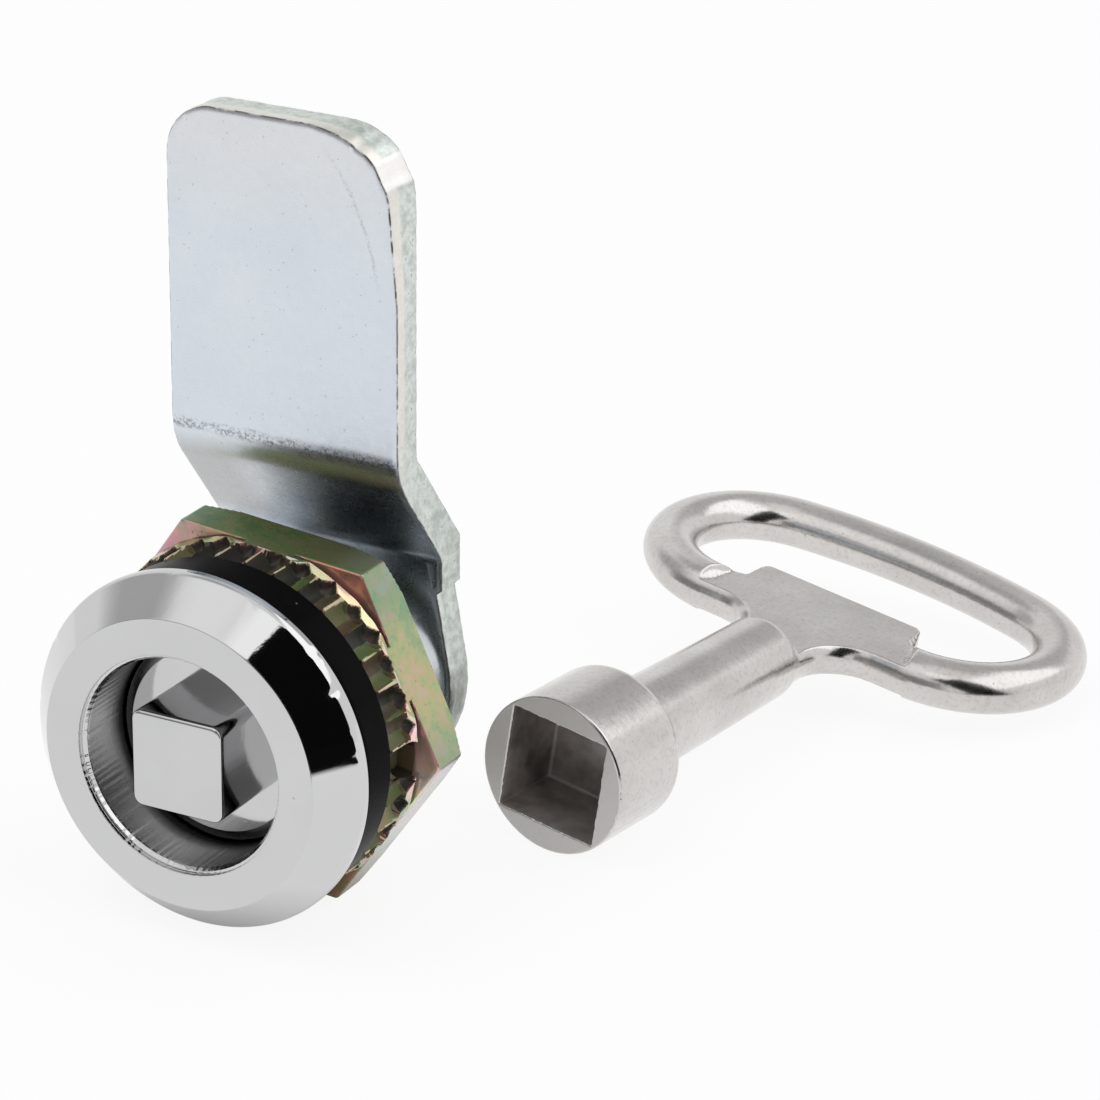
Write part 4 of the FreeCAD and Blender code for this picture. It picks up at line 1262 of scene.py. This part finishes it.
def cam_blank():
    """The flat blank: a clean cut band in front, a torn band behind; marks edge, depth and chip."""
    dice = random.Random(11)
    outline = cam_outline()
    count = len(outline)
    outward = []
    for i in range(count):
        along = outline[(i + 2) % count] - outline[i - 2]
        outward.append(Vector((along.y, -along.x)).normalized())
    wave = [dice.gauss(0, 1) for _ in range(count)]
    wave = [(wave[i - 1] + 2 * wave[i] + wave[(i + 1) % count]) / 4 for i in range(count)]
    stations = (
        (0.55, 0.0, 0.0, 0.0), (0.16, 0.01, 0.02, 0.05), (0.05, 0.07, 0.03, 0.4), (0.0, 0.2, 0.05, 1.0),
        (0.0, 0.9, 0.04, 1.0), (0.01, 1.0, 0.06, 1.0), (0.03, 1.15, 0.06, 1.0), (0.02, 2.0, 0.07, 1.0),
        (0.03, 2.8, 0.06, 1.0), (0.10, 2.95, 0.05, 0.5), (0.5, 3.0, 0.0, 0.0))
    bm = bmesh.new()
    layers = [bm.verts.layers.float.new(name) for name in ("edge", "depth", "chip")]
    rings = []
    for inset, depth, rough, edge in stations:
        jag = [dice.gauss(0, 0.4) for _ in range(count)]
        ring = []
        for i in range(count):
            x, z = outline[i]
            back_in = inset + rough * (0.5 + 0.35 * wave[i] + 0.35 * jag[i]) + shear_inset(x, z, depth)
            p = outline[i] - outward[i] * back_in
            vertex = bm.verts.new((p.x, depth, p.y))
            for layer, value in zip(layers, (edge, depth / CAM_THICKNESS, chip_share(x, z) * edge)):
                vertex[layer] = value
            ring.append(vertex)
        rings.append(ring)
    for a, b in zip(rings, rings[1:]):
        for i in range(count):
            j = (i + 1) % count
            bm.faces.new((a[i], a[j], b[j], b[i]))
    bm.faces.new(rings[0])
    bm.faces.new(rings[-1][::-1])
    return bm


def slice_blank(bm):
    """Cuts the faces into a grid that can bend, and opens the square hole."""
    hole = SQUARE_HOLE / 2
    cuts = [((0, 0, z), (0, 0, 1)) for z in np.concatenate((
        np.arange(8.6, 23.0, 0.25), np.arange(24.0, 44.0, 2.0), np.arange(-9.0, 8.0, 2.0), (-hole, hole)))]
    cuts += [((x, 0, 0), (1, 0, 0)) for x in (*np.arange(-8.0, 8.1, 2.0), -hole, hole)]
    for place, facing in cuts:
        geometry = bm.verts[:] + bm.edges[:] + bm.faces[:]
        bmesh.ops.bisect_plane(bm, geom=geometry, plane_co=place, plane_no=facing)
    inside = []
    for face in bm.faces:
        middle = face.calc_center_median()
        if max(abs(middle.x), abs(middle.z)) < hole:
            inside.append(face)
    bmesh.ops.delete(bm, geom=inside, context="FACES")
    bmesh.ops.bridge_loops(bm, edges=[e for e in bm.edges if e.is_boundary])


def cam_shape():
    """The strip with its marks: cut across in the flat, then bent."""
    bm = cam_blank()
    slice_blank(bm)
    (front_z, front_y), (back_z, back_y) = face_lines()
    for vertex in bm.verts:
        x, depth, z = vertex.co
        front = np.interp(z, front_z, front_y)
        back = np.interp(z, back_z, back_y)
        vertex.co = (x, front + (back - front) * depth / CAM_THICKNESS, z)
    bm.verts.index_update()
    vertices = np.array([v.co for v in bm.verts])
    faces = [[v.index for v in f.verts] for f in bm.faces]
    marks = {}
    for name in ("edge", "depth", "chip"):
        layer = bm.verts.layers.float[name]
        marks[name] = [v[layer] for v in bm.verts]
    bm.free()
    return (vertices, faces), marks


# Key

def key_pose():
    turn = Matrix.Rotation(math.radians(KEY_ROLL), 4, "Y")
    turn = Matrix.Rotation(math.radians(-KEY_DIP), 4, "X") @ turn
    turn = Matrix.Rotation(math.radians(-KEY_YAW), 4, "Z") @ turn
    return Matrix.Translation(KEY_AT) @ turn


def posed(vertices):
    pose = np.array(key_pose())
    return np.asarray(vertices) @ pose[:3, :3].T + pose[:3, 3]


def soft_min(a, b, ease):
    blend = np.clip(0.5 + 0.5 * (b - a) / ease, 0, 1)
    return b * (1 - blend) + a * blend - ease * blend * (1 - blend)


def to_arc(x, y, centre, radius, start, end):
    """Distance in the plane to an arc from start to end degrees, anticlockwise."""
    dx, dy = x - centre[0], y - centre[1]
    middle = math.radians((start + end) / 2)
    half = math.radians((end - start) / 2)
    turned = np.arctan2(dy, dx) - middle
    turned = np.abs(np.mod(turned + math.pi, 2 * math.pi) - math.pi)
    ends = []
    for a in (math.radians(start), math.radians(end)):
        ends.append(np.hypot(dx - radius * math.cos(a), dy - radius * math.sin(a)))
    return np.where(turned <= half, np.abs(np.hypot(dx, dy) - radius), np.minimum(*ends))


def to_segment(x, y, a, b):
    ab = np.subtract(b, a)
    share = np.clip(((x - a[0]) * ab[0] + (y - a[1]) * ab[1]) / (ab @ ab), 0, 1)
    return np.hypot(x - a[0] - share * ab[0], y - a[1] - share * ab[1])


def loop_field(x, y, z, side):
    """Distance to the bar: bowed oval loop, straight run and filleted root, pressed flat beside the web."""
    bow = math.degrees(math.asin(LOOP_END_SPREAD / (LOOP_BOW_R - LOOP_END_R)))
    bow_centre = LOOP_CENTRE - math.sqrt((LOOP_BOW_R - LOOP_END_R) ** 2 - LOOP_END_SPREAD ** 2)
    foot_x = ROOT_SPREAD - ROOT_R
    path = to_arc(x, y, (0, bow_centre), LOOP_BOW_R, 90 - bow, 90 + bow)
    path = np.minimum(path, to_arc(x, y, (LOOP_END_SPREAD, LOOP_CENTRE), LOOP_END_R, -90, 90 - bow))
    path = np.minimum(path, to_segment(x, y, (ROOT_SPREAD, BAR_Y), (LOOP_END_SPREAD, BAR_Y)))
    path = np.minimum(path, to_arc(x, y, (ROOT_SPREAD, ROOT_Y), ROOT_R, 90, 180))
    path = np.minimum(path, to_segment(x, y, (foot_x, ROOT_Y), (foot_x, ROOT_Y - ROOT_TAIL)))
    loop = np.hypot(path, z * LOOP_HALF_WIDTH / LOOP_HALF_HEIGHT) - LOOP_HALF_WIDTH
    above = np.abs(z) - WEB_HALF_THICKNESS
    flat = np.minimum(np.minimum(side + FLAT_STEP + FLAT_SLOPE * above - x, LOOP_CENTRE - y), above)
    return np.maximum(loop, flat)


def web_field(x, y, z, side):
    """Distance to the flat web between the roots, with its two rounded corners."""
    wide = (x - side) * math.cos(math.atan(WEB_SLANT)) + WEB_CORNER
    tall = y - WEB_EDGE + WEB_CORNER
    corner = np.hypot(np.maximum(wide, 0), np.maximum(tall, 0))
    plate = corner + np.minimum(np.maximum(wide, tall), 0) - WEB_CORNER
    plate = np.maximum(plate, ROOT_Y - y)
    plate = np.maximum(plate, ROOT_R - np.hypot(x - ROOT_SPREAD, y - ROOT_Y))
    return np.maximum(plate, np.abs(z) - WEB_HALF_THICKNESS)


def stem_field(x, y, z):
    """Distance to the slightly tapered stem with its domed end."""
    share = np.clip((y - KEY_HEAD_LENGTH) / (STEM_END - KEY_HEAD_LENGTH), 0, 1)
    stem_r = STEM_R + (STEM_END_R - STEM_R) * share
    past = np.maximum(y - STEM_END, 0) * STEM_END_R / STEM_CROWN
    return np.sqrt(x ** 2 + z ** 2 + past ** 2) - stem_r


def key_field(p):
    """Signed distance to the cast part of the key: loop, roots, web and stem."""
    x, y, z = np.abs(p[:, 0]), p[:, 1], p[:, 2]
    side = WEB_HALF_WIDTH + WEB_SLANT * (WEB_EDGE - y)
    flat_part = np.minimum(loop_field(x, y, z, side), web_field(x, y, z, side))
    body = soft_min(flat_part, stem_field(x, y, z), STEM_BLEND)
    return np.maximum(body, KEY_HEAD_LENGTH - BODY_INTO_HEAD - y)


def settle(points, rounds=6):
    """Moves points along the field's slope onto its surface."""
    h = 0.01
    for _ in range(rounds):
        value = key_field(points)
        slope = np.stack([(key_field(points + h * axis) - key_field(points - h * axis)) / (2 * h)
                          for axis in np.eye(3)], 1)
        length = np.maximum((slope ** 2).sum(1), 0.2)
        points = points - slope * (value / length)[:, None] * 0.9
    return points


def key_body_shape():
    """The CAD key cut off inside its head, meshed evenly and settled onto the smooth field."""
    bm = bmesh.new()
    bm.from_mesh(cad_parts["key"].data)
    bmesh.ops.transform(bm, matrix=key_pose().inverted() @ Matrix.Scale(1 / MM, 4), verts=bm.verts)
    bmesh.ops.remove_doubles(bm, verts=bm.verts, dist=0.001)
    geometry = bm.verts[:] + bm.edges[:] + bm.faces[:]
    end = (0, KEY_HEAD_LENGTH - BODY_INTO_HEAD, 0)
    cut = bmesh.ops.bisect_plane(bm, geom=geometry, plane_co=end, plane_no=(0, 1, 0), clear_inner=True)
    rim = [e for e in cut["geom_cut"] if isinstance(e, bmesh.types.BMEdge)]
    bmesh.ops.holes_fill(bm, edges=rim)
    mesh = bpy.data.meshes.new("key_rough")
    bm.to_mesh(mesh)
    bm.free()
    rough = bpy.data.objects.new("key_rough", mesh)
    bpy.context.scene.collection.objects.link(rough)
    remesh = rough.modifiers.new("even", "REMESH")
    remesh.mode = "VOXEL"
    remesh.voxel_size = KEY_VOXEL
    graph = bpy.context.evaluated_depsgraph_get()
    even = bpy.data.meshes.new_from_object(rough.evaluated_get(graph), depsgraph=graph)
    bpy.data.objects.remove(rough)
    points = np.empty(len(even.vertices) * 3)
    even.vertices.foreach_get("co", points)
    points = settle(points.reshape(-1, 3))
    faces = [list(p.vertices) for p in even.polygons]
    bpy.data.meshes.remove(even)
    return points, faces


def mouth_wear(angles):
    """At each angle, how far the rim is worn, how the mouth is torn and how its edge is bitten."""
    dice = random.Random(3)
    off = np.abs(np.mod(angles - math.radians(MOUTH_WORN_AT) + math.pi, 2 * math.pi) - math.pi)
    worn = np.clip(np.cos(np.minimum(off / math.radians(MOUTH_WORN_HALF), 1) * math.pi / 2), 0, 1)
    tear = np.array([dice.gauss(0, 1) for _ in angles])
    tear = (np.roll(tear, 1) + 2 * tear + np.roll(tear, -1)) / 4
    bitten = np.clip(tear - 0.2, 0, 1) * (np.abs(np.mod(angles + math.pi, 2 * math.pi) - math.pi) < 0.45)
    return worn, tear, bitten


def key_head_shape():
    """Round head with its square socket: the rim is worn at the upper right, the mouth a little torn.

    Also gives how much painted shade and how much bright wear or painted highlight each point has."""
    angles = even_angles(KEY_HEAD_AROUND)
    worn, tear, bitten = mouth_wear(angles)
    outside = [(0.0, KEY_HEAD_LENGTH, 0), (KEY_HEAD_R, KEY_HEAD_LENGTH, KEY_HEAD_ROUND),
               (KEY_HEAD_R, RIM_FROM, 0), (0.0, RIM_FROM, 0)]
    rings = [ring_at(angles, r, y) for r, y in eased(outside)[:-1]]
    for inset, y in ((0.0, 0.16 + 0.16 * worn), (0.0, 0.11 + 0.14 * worn),
                     (0.015 + 0.02 * worn, 0.06 + 0.10 * worn), (0.05 + 0.09 * worn, 0.02 + 0.04 * worn),
                     (0.09 + 0.13 * worn, 0.0), (0.14 + 0.13 * worn, 0.0)):
        rings.append(ring_at(angles, KEY_HEAD_R - (inset + 0.12 * bitten * (y < 0.2)), y))
    outer_count = len(rings)
    mouth = SOCKET_MOUTH / 2
    floor = SOCKET_FLOOR / 2
    depth = SOCKET_DEPTH
    for half, y in ((mouth + 0.16, 0.0), (mouth + 0.10, 0.0), (mouth + 0.03, 0.04), (mouth - 0.02, 0.14),
                    (mouth - 0.05, 0.5), (floor + 0.03, depth - 0.25), (floor + 0.02, depth - 0.1),
                    (floor - 0.1, depth), (floor - 0.24, depth), (0.0, depth)):
        reach = half / np.maximum(np.abs(np.cos(angles)), np.abs(np.sin(angles)))
        if y < 0.2:
            reach = np.minimum(reach + 0.04 * tear, KEY_HEAD_R - 0.18 - 0.13 * worn)
        rings.append(ring_at(angles, reach, y))
    return skin(rings), *head_marks(angles, len(rings), outer_count)


def head_marks(angles, count, outer_count):
    """Painted shade fills the socket, with painted light leaving its right wall lighter; painted highlights
    lie along the corners and round the floor, bright wear on the mouth.
    """
    socket_shade = np.zeros((count, len(angles)))
    socket_shade[outer_count + 4:] = 1.0 - 0.5 * np.clip(np.cos(angles) + 0.2, 0, 1)
    socket_shade[outer_count + 3] = 0.6
    # Painted highlights: thin bright lines along the socket's corners and round its floor.
    corner = np.abs(np.mod(angles, math.pi / 2) - math.pi / 4) < 0.5 * 2 * math.pi / len(angles)
    bright = 0.3 * socket_shade * corner
    bright[-4:-2] = 0.25
    bright[-2:] = 0.0
    bright[outer_count - 1:outer_count + 2] = 0.8
    return socket_shade.ravel(), bright.ravel()


# Stage: floor, studio light and camera

def aim(azimuth, elevation):
    """A direction: azimuth 0 is out in front of the lock, 90 to the right."""
    a, e = math.radians(azimuth), math.radians(elevation)
    return Vector((math.sin(a) * math.cos(e), -math.cos(a) * math.cos(e), math.sin(e)))


def oval(wires, towards, centre, reach, ease):
    """1 within reach degrees of the centre, fading over ease degrees."""
    facing = wires.measure("DOT_PRODUCT", towards, tuple(centre))
    return wires.span(facing, math.cos(math.radians(reach + ease)), math.cos(math.radians(reach)))


def panel(wires, towards, middle, across, half_length, near, far, eases):
    """1 where a direction meets an oblong card, seen from the lock; all its sizes are degrees.

    eases are for its start, end, near and far edges."""
    middle = Vector(middle).normalized()
    side = Vector(across)
    side = (side - middle * side.dot(middle)).normalized()
    along = middle.cross(side)
    ahead = wires.measure("DOT_PRODUCT", towards, tuple(middle))
    lengthways = wires.math("ARCTAN2", wires.measure("DOT_PRODUCT", towards, tuple(along)), ahead)
    lengthways = wires.math("DEGREES", lengthways)
    sideways = wires.math("ARCSINE", wires.measure("DOT_PRODUCT", towards, tuple(side)))
    sideways = wires.math("DEGREES", sideways)
    return wires.times(
        wires.span(lengthways, -half_length - eases[0], -half_length),
        wires.span(lengthways, half_length + eases[1], half_length),
        wires.span(sideways, near - eases[2], near),
        wires.span(sideways, far + eases[3], far))


def black_card(wires, towards):
    return panel(wires, towards, CARD_MIDDLE, CARD_ACROSS, CARD_HALF_LENGTH, CARD_NEAR, CARD_FAR, CARD_EASES)


def build_floor():
    """Pale paper. Metal sees it bright and dim under the lock; in reflections it carries a painted reflection
    of a black card standing on it.
    """
    low = cad_box[0].z
    size = FLOOR_HALF
    mesh = bpy.data.meshes.new("floor")
    mesh.from_pydata([(-size, -size, low), (size, -size, low), (size, size, low), (-size, size, low)], [],
                     [(0, 1, 2, 3)])
    floor = bpy.data.objects.new("floor", mesh)
    bpy.context.scene.collection.objects.link(floor)
    made = bpy.data.materials.new("pale_floor")
    made.use_nodes = True
    made.node_tree.nodes.clear()
    wires = Wires(made.node_tree)
    place = wires.place()
    rays = wires.node("ShaderNodeLightPath").outputs
    away = wires.measure("DISTANCE", place, (0.0, 6.0 * MM, low))
    near = wires.span(away, 5.0 * MM, 14.0 * MM, 0.1, 1.0)
    mirrored = wires.times(wires.math("MAXIMUM", rays["Is Glossy Ray"], rays["Is Transmission Ray"]), near)
    seen = wires.math("MAXIMUM", wires.times(rays["Is Camera Ray"], 0.9), mirrored)
    # Painted reflection: glossy rays see the floor near black where a black card would stand.
    towards = wires.turn("NORMALIZE", wires.turn("SUBTRACT", place, CARD_SEEN_FROM))
    shade = wires.times(black_card(wires, towards), rays["Is Glossy Ray"])
    paper = wires.node("ShaderNodeBsdfDiffuse", {"Color": (0.9, 0.9, 0.9, 1.0)}).outputs[0]
    shine = wires.mix(shade, (1.0, 1.0, 1.0), (0.005, 0.005, 0.005))
    glow = wires.node("ShaderNodeEmission", {"Color": shine})
    both = wires.node("ShaderNodeMixShader", {"Fac": wires.math("MAXIMUM", seen, shade)})
    made.node_tree.links.new(paper, both.inputs[1])
    made.node_tree.links.new(glow.outputs[0], both.inputs[2])
    end = wires.node("ShaderNodeOutputMaterial")
    wires.put(end.inputs["Surface"], both.outputs[0])
    mesh.materials.append(made)


def build_world():
    """A light tent: soft boxes above and right, greyer folds of cloth, a dim low front, a black card."""
    world = bpy.data.worlds.new("light_tent")
    bpy.context.scene.world = world
    world.use_nodes = True
    world.node_tree.nodes.clear()
    wires = Wires(world.node_tree)
    towards = wires.node("ShaderNodeTexCoord").outputs["Generated"]
    up = Vector((0.0, 0.0, 1.0))
    patches = (
        (panel(wires, towards, aim(163, 48), up, 24, -18, 22, (14, 2, 5, 12)), 0.58),
        (oval(wires, towards, (-0.82, -0.13, 0.56), 10, 14), 0.52),
        (oval(wires, towards, (-0.35, 0.15, 0.92), 10, 12), 0.50),
        (panel(wires, towards, aim(-25, 5), up, 36, -30, 20, (9, 9, 5, 12)), 0.28),
        (oval(wires, towards, aim(-35, 62), 7, 16), 1.08),
        (panel(wires, towards, aim(105, 50), up, 33, -15, 17, (5, 5, 5, 5)), 1.5),
        (oval(wires, towards, aim(22, 58), 5, 9), 1.3),
        (black_card(wires, towards), 0.004),
    )
    level = TENT_LEVEL
    for mask, value in patches:
        level = wires.blend(mask, level, value)
    tent = wires.vector(level, level, level)
    rays = wires.node("ShaderNodeLightPath").outputs
    sight = wires.mix(rays["Is Camera Ray"], tent, (1.0, 1.0, 1.0))
    lamp = wires.node("ShaderNodeBackground", {"Color": sight, "Strength": 1.0})
    end = wires.node("ShaderNodeOutputWorld")
    wires.put(end.inputs["Surface"], lamp.outputs[0])


def area_lamp(name, place, size, power):
    """A square soft lamp that looks at the lock."""
    lamp = bpy.data.lights.new(name, "AREA")
    lamp.shape = "SQUARE"
    lamp.size = size
    lamp.energy = power
    thing = bpy.data.objects.new(name, lamp)
    bpy.context.scene.collection.objects.link(thing)
    thing.location = place
    thing.rotation_euler = (-Vector(place)).to_track_quat("-Z", "Y").to_euler()
    thing.visible_glossy = False


def build_camera():
    camera = bpy.data.cameras.new("camera")
    camera.lens = CAMERA_LENS
    camera.sensor_width = 36.0
    camera.clip_start = 0.01
    thing = bpy.data.objects.new("camera", camera)
    bpy.context.scene.collection.objects.link(thing)
    turn = Matrix.Rotation(math.radians(CAMERA_AZIMUTH), 4, "Z")
    turn = turn @ Matrix.Rotation(math.radians(90 - CAMERA_ELEVATION), 4, "X")
    turn = turn @ Matrix.Rotation(math.radians(CAMERA_ROLL), 4, "Z")
    thing.matrix_world = Matrix.Translation(Vector(CAMERA_AT) * MM) @ turn
    bpy.context.scene.camera = thing


def build_lock():
    head_finish = chrome_head("housing_chrome", CHROME)
    piece("barrel", barrel_shape(), head_finish, "housing", ["housing"])
    grown("shank_thread", thread_tree(head_finish), {
        "Crest Radius": SHANK_R * MM, "Root Radius": THREAD_ROOT_R * MM, "Pitch": THREAD_PITCH * MM,
        "Start": (gasket_high.y + 0.3) * MM, "Length": (SHANK_END - 0.5 - gasket_high.y - 0.3) * MM,
        "Half Flats": SHANK_FLATS / 2 * MM,
    }, "housing")
    piece("rubber_gasket", gasket_shape(), rubber("gasket_rubber"), "housing", ["gasket"])
    piece("turning_core", driver_shape(), chrome("driver_chrome", CHROME), "driver", ["driver"])
    piece("shaft_seal", seal_shape(), rubber("seal_rubber"), "driver", ["driver_seal"])
    paint_nut(piece("fluted_nut", lock_nut_shape(), yellow_zinc("nut_zinc"), "lock_nut", ["lock_nut"],
                    sharp=28))
    strip, marks = cam_shape()
    piece("cranked_cam", strip, blue_zinc("cam_zinc"), "driver", ["cam"], marks=marks)
    bright = zinc("washer_zinc", ZINC_LIGHT, ZINC_DARK)
    # The stop washer keeps its CAD mesh and only gets its finish.
    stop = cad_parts["stop_washer"]
    stop.data.materials.clear()
    stop.data.materials.append(bright)
    piece("cam_washer", washer_shape(), bright, "driver", ["flat_washer"])
    piece("split_washer", spring_washer_shape(), zinc("spring_steel", SPRING_LIGHT, SPRING_DARK), "driver",
          ["spring_washer"])
    piece("pan_screw", screw_shape(), zinc("screw_zinc", ZINC_LIGHT, ZINC_DARK, 0.2), "driver",
          ["cam_screw"])


def build_key():
    body, body_faces = key_body_shape()
    (head, head_faces), socket_shade, worn = key_head_shape()
    whole = joined((posed(body), body_faces), (posed(head), head_faces))
    clean = np.zeros(len(body))
    marks = {"socket": np.concatenate((clean, socket_shade)), "worn": np.concatenate((clean, worn))}
    piece("socket_key", whole, nickel("key_nickel"), "key", ["key"], sharp=50, marks=marks)


build_camera()
build_groups()
build_floor()
build_world()
area_lamp("overhead_softbox", place=(-0.15, -0.12, 0.5), size=0.3, power=0.4)
build_lock()
build_key()
bpy.context.scene.view_settings.view_transform = "Standard"
